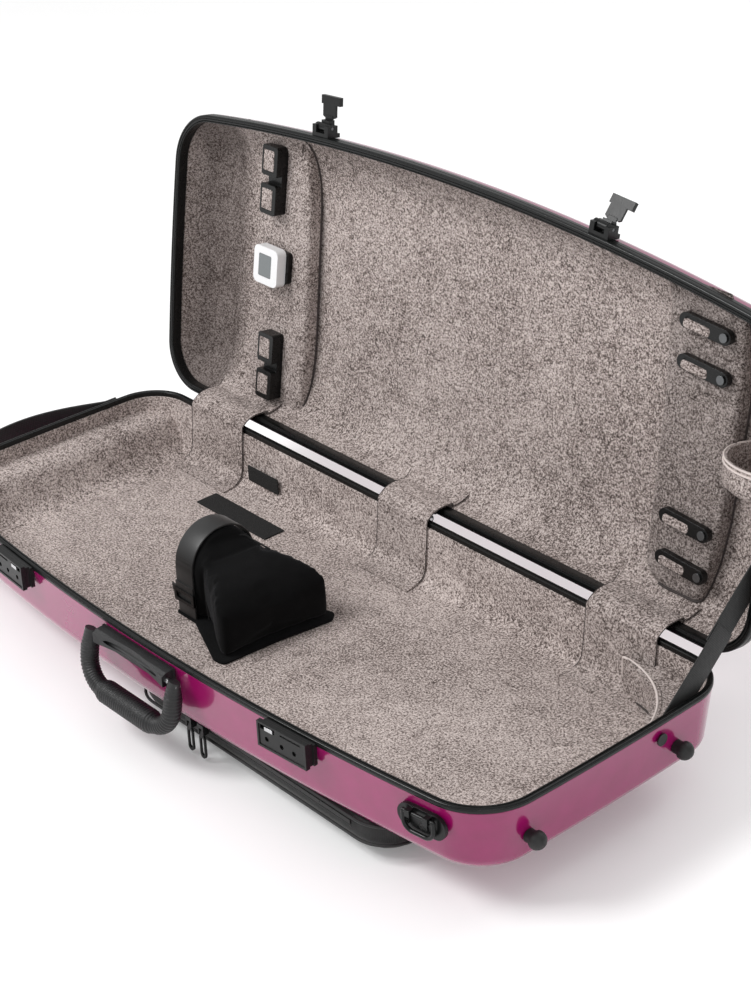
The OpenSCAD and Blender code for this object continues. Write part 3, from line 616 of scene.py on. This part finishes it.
DOME = [(20, 1), (28, 4), (36, 10), (43, 19), (48, 31), (52, 50), (54, 90)]
dome_path = smooth_path([(12.1, 0, 0)] + [(e, i, 0) for e, i in DOME] + [(54.3, 140, 0)], 4)
lid_out = [(p.x, p.y) for p in dome_path]
lid_in = [(max(12.1, e - SHELL_T), i + SHELL_T) for e, i in lid_out if i < 137]
sweep("shell_lid", [(RIM_Z + e, i) for e, i in list(reversed(lid_out)) + lid_in],
      LACQUER, "lid", ("lid_shell",), lid=True, loop=False)


# ---- linings
def soft_wall(v):
    """Slight unevenness of glued cloth over foam."""
    amount = 0.35 * wobble(v, 60) + 0.15 * wobble(v, 24, 3)
    centre = Vector((0, 0, v.z + 30))
    inward = (centre - v)
    inward.z = abs(inward.z) * 0.3
    return v + inward.normalized() * (0.3 + amount) * 0.8


HOLLOW = [(0, 30), (0.5, 23), (1.6, 19), (3, 16), (5.2, 13.3), (8, 11.5), (15, 9.5), (30, 8.2),
          (45, 6.9), (54.8, 5.9)]
lining_in = [(FLOOR_Z + z, i) for z, i in HOLLOW]
lining_in = [(FLOOR_Z, 140), (FLOOR_Z, 100), (FLOOR_Z, 60)] + lining_in
lining_in += [(RIM_Z - 5.1, 5.2)]
outer = arc_levels(POCKET_H + EDGE_R, DRAFT + EDGE_R, EDGE_R - SHELL_T - 0.2, 6)
lining_out = [(POCKET_H + 2.7, 140), (POCKET_H + 2.7, 60)] + outer + [(RIM_Z - 5.2, 2.8)]
sweep("lining_base", lining_in + list(reversed(lining_out)), SUEDE, "base",
      ("base_lining",), loop=False, soft=lambda v, i: soft_wall(v) if v.z > FLOOR_Z - 1.5 else v)

LID_HOLLOW = [(12.2, 6.3), (14.3, 6.8), (22.3, 9.8), (30.3, 15.8), (37.3, 24.8), (42.3, 36.8),
              (46.3, 55.8), (48.2, 95.8)]
lid_lin = smooth_path([(e, i, 0) for e, i in LID_HOLLOW] + [(48.5, 140, 0)], 4)
lid_lining_in = [(RIM_Z + p.x, p.y) for p in lid_lin]
lid_lining_out = [(RIM_Z + max(12.2, e - 2.7), i + 2.7) for e, i in lid_out if i < 135]


def soft_lid(v, inset):
    if inset < 6 or v.z > RIM_Z + 49.5:
        return v
    amount = 0.5 * wobble(v, 70, 5) + 0.2 * wobble(v, 26, 9)
    return v - Vector((0, 0, 0.5 + amount)) * min(1.0, (v.z - RIM_Z - 12) / 10)


def lid_lining_soft(v, inset):
    return v if v.z < RIM_Z + 12.3 else soft_lid(v, inset)


inner_rings = [[lid_lining_soft(Vector((p.x, p.y, z)), i) for p in ring(i)] for z, i in lid_lining_in]
outer_rings = [[Vector((p.x, p.y, z)) for p in ring(i)] for z, i in reversed(lid_lining_out)]
verts, faces = strip(inner_rings[::-1] + outer_rings[::-1])
add_mesh("lining_lid", verts, faces, SUEDE_LID, "lid", ("lid_lining",), 50, lid=True)


# ---- soft shapes
def inset_at(x, y):
    """How far a plan point lies inside the case outline."""
    p = Vector((abs(x), y))
    if p.x > REAR_C.x and p.y > REAR_C.y:
        return REAR_R - (p - REAR_C).length
    turn = math.atan2(p.y - CORNER_C.y, p.x - CORNER_C.x)
    if A_FRONT < turn < A_LOW and p.x > CORNER_C.x:
        return FRONT_R - (p - CORNER_C).length
    return min(HALF_DEPTH - p.y, ARC_FRONT - (p - FRONT_C).length, ARC_END - (p - END_C).length)


def lerp_table(table, x):
    """Straight-line reading of a table of (x, value) in rising x."""
    for (x0, v0), (x1, v1) in zip(table, table[1:]):
        if x <= x1:
            return v0 + (v1 - v0) * max(0.0, (x - x0)) / (x1 - x0)
    return table[-1][1]


def lid_depth(inset):
    return lerp_table([(i, e) for e, i in LID_HOLLOW], inset)


def base_inset(z):
    return lerp_table([(FLOOR_Z + h, i) for h, i in HOLLOW], z)


def shifted(outline, t):
    """Closed outline of (x, y), moved inward by t along its own normals."""
    n = len(outline)
    area = sum(a[0] * b[1] - b[0] * a[1] for a, b in zip(outline, outline[1:] + outline[:1]))
    turn = 1 if area > 0 else -1
    out = []
    for k, p in enumerate(outline):
        a, b = Vector(outline[k - 1]), Vector(outline[(k + 1) % n])
        v = (b - a).normalized()
        out.append(Vector(p) + Vector((-v.y, v.x)) * t * turn)
    return out


def rounded(corners, radius, step=4.0):
    """Closed outline through corners with rounded turns, its points about a step apart."""
    pts = []
    n = len(corners)
    for k in range(n):
        p, a, b = Vector(corners[k]), Vector(corners[k - 1]), Vector(corners[(k + 1) % n])
        r = radius[k] if hasattr(radius, "__len__") else radius
        u, v = (a - p).normalized(), (b - p).normalized()
        half = math.acos(max(-1, min(1, u.dot(v)))) / 2
        back = min(r / math.tan(half), 0.45 * (a - p).length, 0.45 * (b - p).length)
        start, end = p + u * back, p + v * back
        for j in range(7):
            t = j / 6
            pts.append(start * (1 - t) ** 2 + p * 2 * t * (1 - t) + end * t * t)
    out = []
    for k, p in enumerate(pts):
        q = pts[(k + 1) % len(pts)]
        count = max(1, int((q - p).length / step))
        out += [p + (q - p) * j / count for j in range(count)]
    return out


def pillow(outline, levels, depth, fill=0.0, seed=1.0):
    """Rings of a crowned pad on a plan outline; levels are (height, inward shift)."""
    rings = []
    for h, t in levels:
        rings.append([Vector((p.x, p.y, depth(p.x, p.y, h))) for p in shifted(outline, t)])
    last = shifted(outline, levels[-1][1])
    centre = sum(last, Vector((0, 0))) / len(last)
    for k in range(1, 7):
        ring_k = []
        for p in last:
            q = p.lerp(centre, k / 6.6)
            h = levels[-1][0] + fill * math.sin(math.pi / 2 * k / 6.6) + 0.3 * wobble((q.x, q.y, 0), 30, seed)
            ring_k.append(Vector((q.x, q.y, depth(q.x, q.y, h))))
        rings.append(ring_k)
    return rings


# ---- raised panels in the lid
EDGE_ROUND = [(46, 0.0), (38, 0.0), (34, 0.35), (32, 1.2), (30.7, 2.6), (30.1, 4.6), (29.8, 7.0)]


def lid_pad(name, corners, radius, cad, seam_shadow, cloth, fill=-0.5):
    def depth(x, d, e):
        inset = inset_at(x, HINGE_Y - d)
        return min(e, lid_depth(max(6.4, inset)) - 0.35)

    outline = rounded([(x, d) for x, d in corners], radius)
    rings = pillow(outline, EDGE_ROUND, depth, fill)
    rings = [[Vector((p.x, HINGE_Y - p.y, RIM_Z + p.z)) for p in r] for r in rings]
    verts, faces = strip(rings)
    piece = add_mesh(name, verts, faces, cloth, "lid", cad, 50, lid=True)
    # painted shadow: a dark cord along the chosen edges of the panel's foot stands for the shadow in the gap
    # between panel and lining
    for k, shown in enumerate(seam_shadow):
        path = []
        for p in outline:
            if shown(p.x, p.y) and inset_at(p.x, HINGE_Y - p.y) > 10:
                path.append(Vector((p.x, HINGE_Y - p.y, RIM_Z + depth(p.x, p.y, 46) - 0.6)))
        piping(f"{name}_seam_{k + 1}", path, 1.1, THREAD_AND_SHADOW, "lid", lid=True)
    return piece


lid_pad("panel_left", [(-297, 21), (-213, 21), (-212, 100), (-217, 230), (-226, 303), (-297, 303)],
        [4, 9, 20, 20, 3, 3], ("left_panel",), (lambda x, d: x > -230 and 26 < d < 296,), SUEDE_PANEL)
# the right panel gets the most painted shade
lid_pad("panel_right", [(249, 24), (315, 24), (324, 100), (326, 210), (319, 303), (238, 303), (247, 190)],
        [26, 10, 20, 20, 3, 3, 30], ("right_panel",),
        (lambda x, d: x > 264 and d < 296 and (x > 300 or d < 40),),
        SUEDE_PAINTED_SHADE, 0.2)


# ---- pads in the base
def y_reach(x, inset, side):
    """How far from the middle a plan point at x can go and keep that inset."""
    low, high = 0.0, HALF_DEPTH
    for _ in range(24):
        mid = (low + high) / 2
        if inset_at(x, side * mid) > inset:
            low = mid
        else:
            high = mid
    return side * low


def hollow_height(inset):
    """Height of the base lining above its floor at an inset."""
    return lerp_table([(i, h) for h, i in reversed(HOLLOW)], inset)


def end_pad(name, profile, cad):
    """Soft block across one end of the base, from a profile of (x, height above the floor)."""
    path = smooth_path([(x, 0, FLOOR_Z + h) for x, h in profile], 4)
    top, bottom = [], []
    for p in path:
        inset = base_inset(p.z) - 1.6
        y0, y1 = y_reach(p.x, inset, -1), y_reach(p.x, inset, 1)
        row, low = [], []
        for k in range(49):
            v = k / 48
            y = y0 + (y1 - y0) * v
            lift = 0.35 * wobble((p.x, y, p.z), 45, 2) + 0.2 * wobble((p.x, y, p.z), 18, 6)
            row.append(Vector((p.x, y, p.z + lift)))
            under = min(p.z - 0.4, FLOOR_Z + hollow_height(inset_at(p.x, y) - 0.6)) - 0.8
            low.append(Vector((p.x, y, under)))
        top.append(row)
        bottom.append(low)
    rings = [a + b[::-1] for a, b in zip(top, bottom)]
    verts, faces = strip(rings)
    piece = add_mesh(name, verts, faces, SUEDE, "base", cad, 60)


end_pad("end_pad_left", [(-318, 0.1), (-330, 1.0), (-340, 5), (-347, 13), (-353, 24), (-358, 33),
                         (-366, 38.5), (-377, 40), (-388, 40.5)], ("left_end_pad",))
end_pad("end_pad_right", [(296, 0.1), (308, 1.2), (340, 5.2), (370, 9.5), (386.5, 12)],
        ("right_end_pad",))

SCOOP = Vector((286, 46))
SCOOP_R = 90
scoop = [SCOOP + SCOOP_R * Vector((math.cos(math.radians(a)), math.sin(math.radians(a))))
         for a in range(84, 6, -3)]
corner_plan = [(p.x, p.y) for p in scoop]
corner_plan += [(381, 62), (381.5, 80), (381.5, 100), (380.5, 118), (376, 132), (367, 142), (354, 147.5),
                (336, 149), (317, 149), (316, 141.5), (300, 141.5), (291, 141), (287.3, 139.3), (287, 137)]
corner_levels = [(FLOOR_Z + 0.6, 0.0), (FLOOR_Z + 20, 0.3), (FLOOR_Z + 34, 0.0), (FLOOR_Z + 37.5, 0.6),
                 (FLOOR_Z + 39.2, 1.9), (FLOOR_Z + 39.8, 4.0)]
verts, faces = strip(pillow(corner_plan, corner_levels, lambda x, y, h: h, -1.0, 4))
# painted shade: the darker panel copy stands for the shade on the scooped wall
corner_pad = add_mesh("corner_pad", verts, faces, SUEDE_PANEL, "base", ("corner_compartment",), 50)
edge = [Vector((p.x, p.y, FLOOR_Z + 39.0)) for p in shifted(corner_plan, 0.9)][:len(scoop)]
edge = [Vector((286.2, 137.5, FLOOR_Z + 14)), Vector((286.2, 137.5, FLOOR_Z + 26)),
        Vector((286.6, 137.2, FLOOR_Z + 36)), Vector((288.6, 136.4, FLOOR_Z + 38.8))] + edge
piping("corner_piping", smooth_path(edge, 2), 1.15, PIPING, "base")
# dark line round the foot of the scooped wall: its seam, and painted shadow where the wall meets the floor
foot = [Vector((p.x, p.y, FLOOR_Z + 1.2 + 0.16 * max(0, p.x - 300)))
        for p in shifted(corner_plan, -0.5)][:len(scoop)]
piping("corner_seam", foot, 0.9, THREAD_AND_SHADOW, "base")


# ---- tube pouch in the lid
POUCH = Vector((371, 30))
WALL_GAP, BASE_GAP = 7, 2.6  # gap to the lid's wall, and more where it shuts into the base
pouch_profile = [(0, 146.4), (16, 146.6), (28, 147.3), (36, 149.4), (40.4, 153), (41.9, 158),
                 (41.8, 166), (42, 175.4), (41, 176.2), (39.6, 176), (39, 174), (38.8, 160),
                 (36.6, 153), (30, 149.6), (0, 149)]


def pouch_point(angle, r, d, swell=0.0):
    a = math.radians(angle)
    x, e = POUCH.x + (r + swell) * math.cos(a), POUCH.y + (r + swell) * math.sin(a)
    inset = inset_at(x, HINGE_Y - d)
    room = WALL_GAP + BASE_GAP * max(0.0, min(1.0, (8 - e) / 8))
    if inset < room and r > 1:
        x -= (room - inset) * 0.95
    return Vector((x, HINGE_Y - d, RIM_Z + e))


rings = []
for a in range(148, 301, 4):
    rings.append([pouch_point(a, r, d, 0.5 * wobble((a * 0.7, r, d), 14, 3) if r > 5 else 0)
                  for r, d in pouch_profile])
verts, faces = strip(rings)
pouch = add_mesh("tube_pouch", verts, faces, SUEDE_PANEL, "lid", ("tube_pocket",), 55, lid=True)
for k, d in enumerate((175.6, 171.8)):
    piping(f"pouch_piping_{k + 1}", [pouch_point(a, 42.2, d) for a in range(150, 299, 4)], 0.95,
           PIPING, "lid", lid=True)


# ---- hinge covers and lid stay
COVER_XS, COVER_WS = (-285, -5, 272), (84, 70, 84)
COVER_BASE = [(119, -59.6), (127, -59.3), (133.5, -58.7), (140.2, -56.5), (144.6, -51.8),
              (146.8, -45), (148.8, -25), (150.6, -5.5), (150.9, 0.6), (154, 3.6), (160, 7.0),
              (168, 8.7), (181, 8)]
COVER_LID = [(12.8, 14), (15.8, 22), (21.6, 29.4)]
cover_line = [Vector((0, y, RIM_Z + z)) for y, z in COVER_BASE]
cover_line += [lid_point(0, d, e) for d, e in COVER_LID]
cover_line = smooth_path(cover_line, 6)


def hinge_cover(k, name, cad):
    """Flap of lining cloth over one hinge, sewn down at both ends."""
    w, x0 = COVER_WS[k], COVER_XS[k]
    frames = path_frames(cover_line, False, X_AXIS)
    total = len(frames)
    rings = []
    for j, (p, t, side, normal) in enumerate(frames):
        v = j / (total - 1)
        flare = 4.0 * max(0.0, (v - 0.78) / 0.22) ** 1.5 + 1.5 * max(0.0, (0.2 - v) / 0.2)
        bow = 1.2 * math.sin(math.pi * v)
        half = w / 2 + flare - bow
        out = Vector((0, -t.z, t.y))
        if out.dot(Vector((0, -0.6, 1))) < 0:
            out = -out
        ring_j = []
        for face, lift in ((1, 1.5), (-1, 0.1)):
            cols = range(25) if face > 0 else range(24, -1, -1)
            for c in cols:
                u = c / 24 * 2 - 1
                x = x0 + u * half
                soft = 0.6 * wobble((x, p.y, p.z), 26, 7 + k)
                soft = soft * math.sin(math.pi * min(1, v * 3)) * (1 - abs(u) ** 3)
                edge = 0.35 if abs(u) > 0.97 and face > 0 else 0.0
                ring_j.append(Vector((x, p.y, p.z)) + out * (lift + max(0.0, soft) - edge))
        rings.append(ring_j)
    verts, faces = strip(rings)
    piece = add_mesh(name, verts, faces, SUEDE_COVER, None, (cad,), 60)
    length = sum((b - a).length for a, b in zip(cover_line, cover_line[1:]))
    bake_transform(piece)
    for s in (-1, 1):
        path = [rings[j][24 if s > 0 else 0] + Vector((s * 0.2, 0, 0)) for j in range(14, total - 1)]
        verts, faces = along(path, round_section(0.4, 6), False, X_AXIS)
        hem = add_mesh(f"{name}_hem_{'right' if s > 0 else 'left'}", verts, faces, THREAD_AND_SHADOW, None)
        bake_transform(hem)


for k, side in enumerate(("left", "middle", "right")):
    hinge_cover(k, f"cover_{side}", f"hinge_cover_{side}")

STAY_X = HALF_LEN - 10
stay_low = Vector((STAY_X - 0.9, 80, RIM_Z - 22))
stay_high = lid_point(STAY_X - 0.9, 97, 21)
stay_dir = (stay_high - stay_low).normalized()
stay_len = (stay_high - stay_low).length


def stay_piece(name, a, b, width, shift, cad=()):
    pts = []
    for k in range(31):
        s = a + (b - a) * k / 30
        p = stay_low + stay_dir * s
        pts.append(p + Vector((shift + 0.5 * math.sin(s / 31), 0, 0)))
    verts, faces = along(pts, flat_section(width, 1.6, 0.6), False, X_AXIS)
    piece = add_mesh(name, verts, faces, WEB_YZ, None, cad, 60)
    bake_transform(piece)


stay_piece("stay_lower", -8, 96, 25, 0, ("stay_strap",))
stay_piece("stay_upper", 80, stay_len + 9, 26, -1.7)


# ---- neck cradle
def soften(node, name, material, voxel, pressure, cap, shrink=0.6, smooth=4):
    """Foam part: the CAD solid remeshed, blown up by cloth simulation and held to a cap."""
    source = frame["nodes"][node]
    mesh = source.data.copy()
    mesh.name = name
    mesh.transform(source.matrix_world)
    piece = bpy.data.objects.new(name, mesh)
    bpy.context.scene.collection.objects.link(piece)
    bm = bmesh.new()
    bm.from_mesh(mesh)
    bmesh.ops.remove_doubles(bm, verts=bm.verts, dist=1e-5)
    bm.to_mesh(mesh)
    bm.free()

    def settle(kind, **settings):
        mod = piece.modifiers.new(kind.lower(), kind)
        for key, value in settings.items():
            setattr(mod, key, value)
        graph = bpy.context.evaluated_depsgraph_get()
        made = bpy.data.meshes.new_from_object(piece.evaluated_get(graph))
        piece.modifiers.clear()
        piece.data = made

    settle("REMESH", mode="VOXEL", voxel_size=voxel * MM)
    settle("SMOOTH", factor=0.5, iterations=smooth)
    for v in piece.data.vertices:
        v.co -= v.normal * shrink * MM
    start = [v.co.copy() for v in piece.data.vertices]
    cloth = piece.modifiers.new("cloth", "CLOTH")
    cloth.settings.use_pressure = True
    cloth.settings.uniform_pressure_force = pressure
    cloth.settings.effector_weights.gravity = 0
    cloth.settings.tension_stiffness = 15
    cloth.settings.quality = 5
    cloth.point_cache.frame_start, cloth.point_cache.frame_end = 1, 20
    for f in range(1, 21):
        bpy.context.scene.frame_set(f)
    graph = bpy.context.evaluated_depsgraph_get()
    made = bpy.data.meshes.new_from_object(piece.evaluated_get(graph))
    piece.modifiers.clear()
    piece.data = made
    bpy.context.scene.frame_set(1)
    for v, p in zip(piece.data.vertices, start):
        step = v.co - p
        if step.length > cap * MM:
            v.co = p + step.normalized() * cap * MM
    settle("SUBSURF", levels=1, render_levels=1)
    mesh = piece.data
    mesh.name = name
    mesh.polygons.foreach_set("use_smooth", [True] * len(mesh.polygons))
    mesh.materials.clear()
    mesh.materials.append(material)
    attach(piece, "base")
    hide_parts(node)
    return piece


soften("neck_cradle", "cradle_wedge", VELVET, 3.0, 4, 1.6, 0.9, 14)
CRADLE_Z = FLOOR_Z + 2.8
flap_plan = rounded([(-93, -53), (-64, -53), (-2, -80), (10, -78), (14, -20), (22, 38), (14, 48),
                     (-64, 24), (-93, 24)], [5, 8, 10, 8, 20, 7, 7, 8, 5])
flap_levels = [(FLOOR_Z + h, t) for h, t in ((0.5, 0.6), (1.2, 0.0), (2.2, 0.2), (2.7, 1.4), (2.8, 3.0))]
verts, faces = strip(pillow(flap_plan, flap_levels, lambda x, y, h: h, 0, 3))
flap = add_mesh("cradle_base_flap", verts, faces, VELVET, "base", ("cradle_flap",), 50)

ARCH_X, ARCH_Y, ARCH_W = -77.5, -15, 25
arch = [(ARCH_X, ARCH_Y - 35, CRADLE_Z)]
arch += [(ARCH_X, ARCH_Y - 35.2, CRADLE_Z + h) for h in (12, 24, 36, 46)]
arch += [(ARCH_X, ARCH_Y - 35 * math.cos(math.radians(a)), CRADLE_Z + 48 + 35 * math.sin(math.radians(a)))
         for a in range(12, 170, 12)]
arch += [(ARCH_X, ARCH_Y + 35.2, CRADLE_Z + h) for h in (46, 30, 14, 0)]
arch_path = smooth_path(arch, 4)
verts, faces = along(arch_path, flat_section(1.9, ARCH_W, 0.8), False, X_AXIS)
arch_piece = add_mesh("cradle_arch", verts, faces, SATIN, "base", ("cradle_strap",), 60)
hem_path = [p for p in arch_path if p.y < ARCH_Y - 30 and CRADLE_Z + 22 < p.z < CRADLE_Z + 36]
hem_path = [p - Vector((0, 1.6, 0)) for p in hem_path]
verts, faces = along(hem_path, flat_section(1.3, ARCH_W + 0.6, 0.6), False, X_AXIS)
add_mesh("cradle_arch_hem", verts, faces, SATIN, "base", (), 60)
ridge = [(-60.5, -37, 64), (-60, -30, 69.6), (-60.5, -15, 70.4), (-60, 4, 69.8), (-52, 12, 63.5),
         (-36, 17, 58.8)]
ridge = [Vector((x, y, CRADLE_Z + z - 0.6)) for x, y, z in ridge]
piping("cradle_piping", smooth_path(ridge, 5), 0.9, VELVET_EDGE, "base")
front_edge = [(-60.5, -37, 64), (-59, -41.5, 56), (-57, -43.6, 40), (-55, -44.8, 20), (-52, -45.4, 4)]
front_edge = [Vector((x, y, CRADLE_Z + z)) for x, y, z in front_edge]
piping("cradle_front_piping", smooth_path(front_edge, 5), 0.7, VELVET_EDGE, "base")
tab_pts = [Vector((x, ARCH_Y - 36.4, CRADLE_Z + 24)) for x in range(-96, -85, 3)]
verts, faces = along(tab_pts, flat_section(1.4, 8, 0.6), False)
add_mesh("cradle_tab", verts, faces, SATIN, "base", (), 60)


# ---- music pocket
soften("music_pocket", "pocket_bag", POCKET_CLOTH, 6, 4, 1.5, 1.2)
P_X0, P_X1, P_HALF, P_R = -55, 288, 136, 35


def pocket_line(z, out):
    """Closed line round the pocket at one height."""
    xm, hx = (P_X0 + P_X1) / 2, (P_X1 - P_X0) / 2
    pts = []
    for q in range(4):
        sx, sy = (1 if q in (0, 3) else -1), (1 if q < 2 else -1)
        for k in range(12):
            a = math.radians(q * 90 + k * 90 / 11)
            pts.append(Vector((xm + sx * (hx - P_R) + (P_R + out) * math.cos(a),
                               sy * (P_HALF - P_R) + (P_R + out) * math.sin(a), z)))
    out_pts = []
    for k, p in enumerate(pts):
        q = pts[(k + 1) % len(pts)]
        count = max(1, int((q - p).length / 8))
        out_pts += [p.lerp(q, j / count) for j in range(count)]
    return out_pts


for edge, z, out, r in (("top", POCKET_H - 1.8, -0.2, 1.5), ("low", 19, -0.4, 1.4)):
    piping(f"pocket_piping_{edge}", pocket_line(z, out), r, POCKET_CLOTH, "base",
           closed=True)
ZIP_Z = POCKET_H - 6
for k, dz in enumerate((-3.4, 3.4)):
    path = [Vector((x, -P_HALF - 1.0, ZIP_Z + dz)) for x in range(P_X0 + 34, P_X1 - 33, 6)]
    piping(f"zip_tape_edge_{k + 1}", path, 0.6, POCKET_CLOTH, "base", sides=6)


# ---- carrying handle
def handle_frame():
    joint = next(j for j in frame["joints"] if j["name"] == "handle_swing")
    place = Vector(joint["pos_m"]) / MM
    return Matrix.Translation(place) @ Matrix.Rotation(math.radians(-10), 4, "X")


HANDLE = handle_frame()
ARM_X, ARM_DROP, BEND = 60, 47, 25
u_path = [(-ARM_X, 0, 3), (-ARM_X, 0, -6), (-ARM_X, 0, -14), (-ARM_X, 0, -(ARM_DROP - BEND))]
for a in (math.radians(k) for k in range(15, 90, 15)):
    u_path.append((BEND - ARM_X - BEND * math.cos(a), 0, BEND - ARM_DROP - BEND * math.sin(a)))
u_path += [(x, 0, -ARM_DROP) for x in range(-35, 36, 5)]
u_path += [(-x, 0, z) for x, _, z in reversed(u_path[:9])]
u_line = smooth_path([Vector(p) for p in u_path], 14)
lengths = [0.0]
for a, b in zip(u_line, u_line[1:]):
    lengths.append(lengths[-1] + (b - a).length)
RIB = 3.0
rings = []
for (p, t, side, normal), s in zip(path_frames(u_line, False, Vector((0, 1, 0))), lengths):
    total = lengths[-1]
    near_end = min(s, total - s)
    mid = min(1.0, max(0.0, (near_end - 58) / 10))
    mid = mid * mid * (3 - 2 * mid)
    r = 8.0 + 2.6 * mid
    flat = min(1.0, near_end / 16)
    ring_k = []
    for k in range(24):
        a = 2 * math.pi * k / 24
        rib = 0.28 * math.cos(2 * math.pi * s / RIB + a) * min(1.0, near_end / 10)
        rs = (r + rib) * (0.82 + 0.18 * flat)
        rn = (r + rib) * (0.5 + 0.5 * flat)
        ring_k.append(p + side * math.cos(a) * rs + normal * math.sin(a) * rn)
    rings.append([HANDLE @ q for q in ring_k])
verts, faces = strip(rings)
grip = add_mesh("handle_leather", verts, faces, LEATHER, "handle", ("handle_grip",), 60)


# ---- cloth pads on the bow holders
def stud_pad(plan, place, height, proud):
    """Small cushion with its face towards -Z of place."""
    levels = [(0.0, 0.0), (proud * 0.6, 0.05), (proud * 0.9, 0.3), (proud, 0.8)]
    rings = pillow(plan, levels, lambda x, y, h: h, 0.25, 2)
    return strip([[place @ Vector((p.x, p.y, -height - p.z)) for p in r] for r in rings])


def join_strips(parts):
    verts, faces = [], []
    for v, f in parts:
        base = len(verts)
        verts += v
        faces += [tuple(i + base for i in face) for face in f]
    return verts, faces


parts = []
for x, d in ((-264, 249), (-255, 60)):
    for s in (-1, 1):
        plan = rounded([(-7.8, -10.3), (7.8, -10.3), (7.8, 10.3), (-7.8, 10.3)], 1.6, 2)
        place = Matrix.Translation((x - 1.5, HINGE_Y - d + s * 19.2, RIM_Z + 29.7))
        parts.append(stud_pad(plan, place, 12.6, 1.6))
verts, faces = join_strips(parts)
pads = add_mesh("clip_pads", verts, faces, SUEDE_PANEL, "lid", ("bow_clip_pads",), 50, lid=True)
for k, (x, d) in enumerate(((308, 261.5), (311, 226.5), (313.5, 89.5), (315, 51.5))):
    plan = rounded([(-44, -1.8), (-15, -1.8), (-15, 6.4), (-44, 6.4)], 3.8, 2)
    place = Matrix.Translation((x, HINGE_Y - d, RIM_Z + 29.4)) @ Matrix.Rotation(math.radians(4), 4, "Z")
    verts, faces = stud_pad(plan, place, 6.3, 1.5)
    pad = add_mesh(f"spinner_pad_{k + 1}", verts, faces, SUEDE_COVER, f"spinner_{k + 1}",
                   (), 50, lid=True)


# ---- end handle and hook tape
def end_band(y):
    """Distance of the carrying strap behind the left end, bowed outwards."""
    flat = 1 - min(1.0, abs(y) / 92) ** 2
    return HALF_LEN + 1.8 + 27 * flat ** 1.15


band_pts = [Vector((-end_band(y), y, RIM_Z - 13.5)) for y in range(-104, 105, 4)]
verts, faces = along(band_pts, flat_section(3.2, 26, 1.2, 4))
end_strap = add_mesh("end_strap", verts, faces, WEB_XY, "base", ("end_handle",), 60)


def tape(name, x0, x1, y0, y1, z, vertical=False):
    plan = rounded([(x0, y0), (x1, y0), (x1, y1), (x0, y1)], 1.6, 3)
    levels = [(0.0, 0.2), (0.5, 0.0), (1.1, 0.15), (1.35, 0.7), (1.4, 1.6)]
    rings = pillow(plan, levels, lambda x, y, h: h, 0.1, 9)
    if vertical:
        rings = [[Vector((p.x, HALF_DEPTH - 12.4 - p.z, p.y)) for p in r] for r in rings]
    else:
        rings = [[Vector((p.x, p.y, z + p.z)) for p in r] for r in rings]
    verts, faces = strip(rings)
    return add_mesh(name, verts, faces, HOOKS, "base", ("hook_patches",), 50)


tape("hook_tape_floor", -246, -138, 88, 113, FLOOR_Z + 0.2)
tape("hook_tape_wall", -231, -184, RIM_Z - 50, RIM_Z - 33, 0, vertical=True)


# ---- CAD parts that keep their shape
for n in ("base_hinge_leaves", "lid_hinge_leaves", "lock_bodies", "strap_plates", "latch_blocks",
          "left_latch", "right_latch", "stay_rivets", "left_zip_slider", "right_zip_slider",
          "left_zip_pull", "right_zip_pull", "left_strap_ring", "right_strap_ring", "strap_plate_screws"):
    dress(n, HARDWARE)
dress("handle_mount", LEATHER)
for n in ("hinge_pins", "hinge_screws", "left_release_slider", "right_release_slider",
          "end_handle_rivets", "handle_pins"):
    dress(n, STEEL)
for n in ("latch_pins", "spinner_rivets"):
    dress(n, DARK_STEEL)
for n in ("bow_clips", "meter_holder", "bow_spinner_1", "bow_spinner_2", "bow_spinner_3",
          "bow_spinner_4", "cradle_buckle"):
    dress(n, PLASTIC)
dress("pocket_zipper", PLASTIC)
dress("end_feet", RUBBER)
dress("meter_body", WHITE)
dress("meter_screen", SCREEN)


# ---- stage
def add_stage():
    mesh = bpy.data.meshes.new("floor")
    mesh.from_pydata([(-8, -8, 0), (8, -8, 0), (8, 8, 0), (-8, 8, 0)], [], [(0, 1, 2, 3)])
    floor = bpy.data.objects.new("floor", mesh)
    bpy.context.scene.collection.objects.link(floor)
    m = Nodes("floor_paper", Roughness=0.7)
    m.link(m.ramp(m.noise(3, 2), [(0.2, (0.86, 0.86, 0.86)), (0.8, (0.88, 0.88, 0.88))]), "Base Color")
    m.bsdf.inputs["Emission Color"].default_value = (1, 1, 1, 1)
    m.bsdf.inputs["Emission Strength"].default_value = 0.12
    mesh.materials.append(m.mat)
    world = bpy.data.worlds.new("studio")
    world.use_nodes = True
    world.node_tree.nodes["Background"].inputs["Color"].default_value = (1, 1, 1, 1)
    world.node_tree.nodes["Background"].inputs["Strength"].default_value = 0.66
    bpy.context.scene.world = world
    bpy.context.scene.view_settings.view_transform = "Standard"

    def area(name, place, target, size, watts, size_y=None):
        data = bpy.data.lights.new(name, "AREA")
        data.shape = "RECTANGLE"
        data.size, data.size_y = size, size_y or size
        data.energy = watts
        light = bpy.data.objects.new(name, data)
        light.location = place
        direction = Vector(target) - Vector(place)
        light.rotation_euler = direction.to_track_quat("-Z", "Y").to_euler()
        bpy.context.scene.collection.objects.link(light)

    area("key", (-1.2, -1.9, 2.6), (0, 0, 0.1), 1.2, 74)
    area("fill", (2.4, -1.4, 1.2), (0, 0, 0.1), 1.6, 9)
    area("back", (0.3, 2.2, 2.2), (0, 0, 0.2), 1.6, 22)


add_stage()
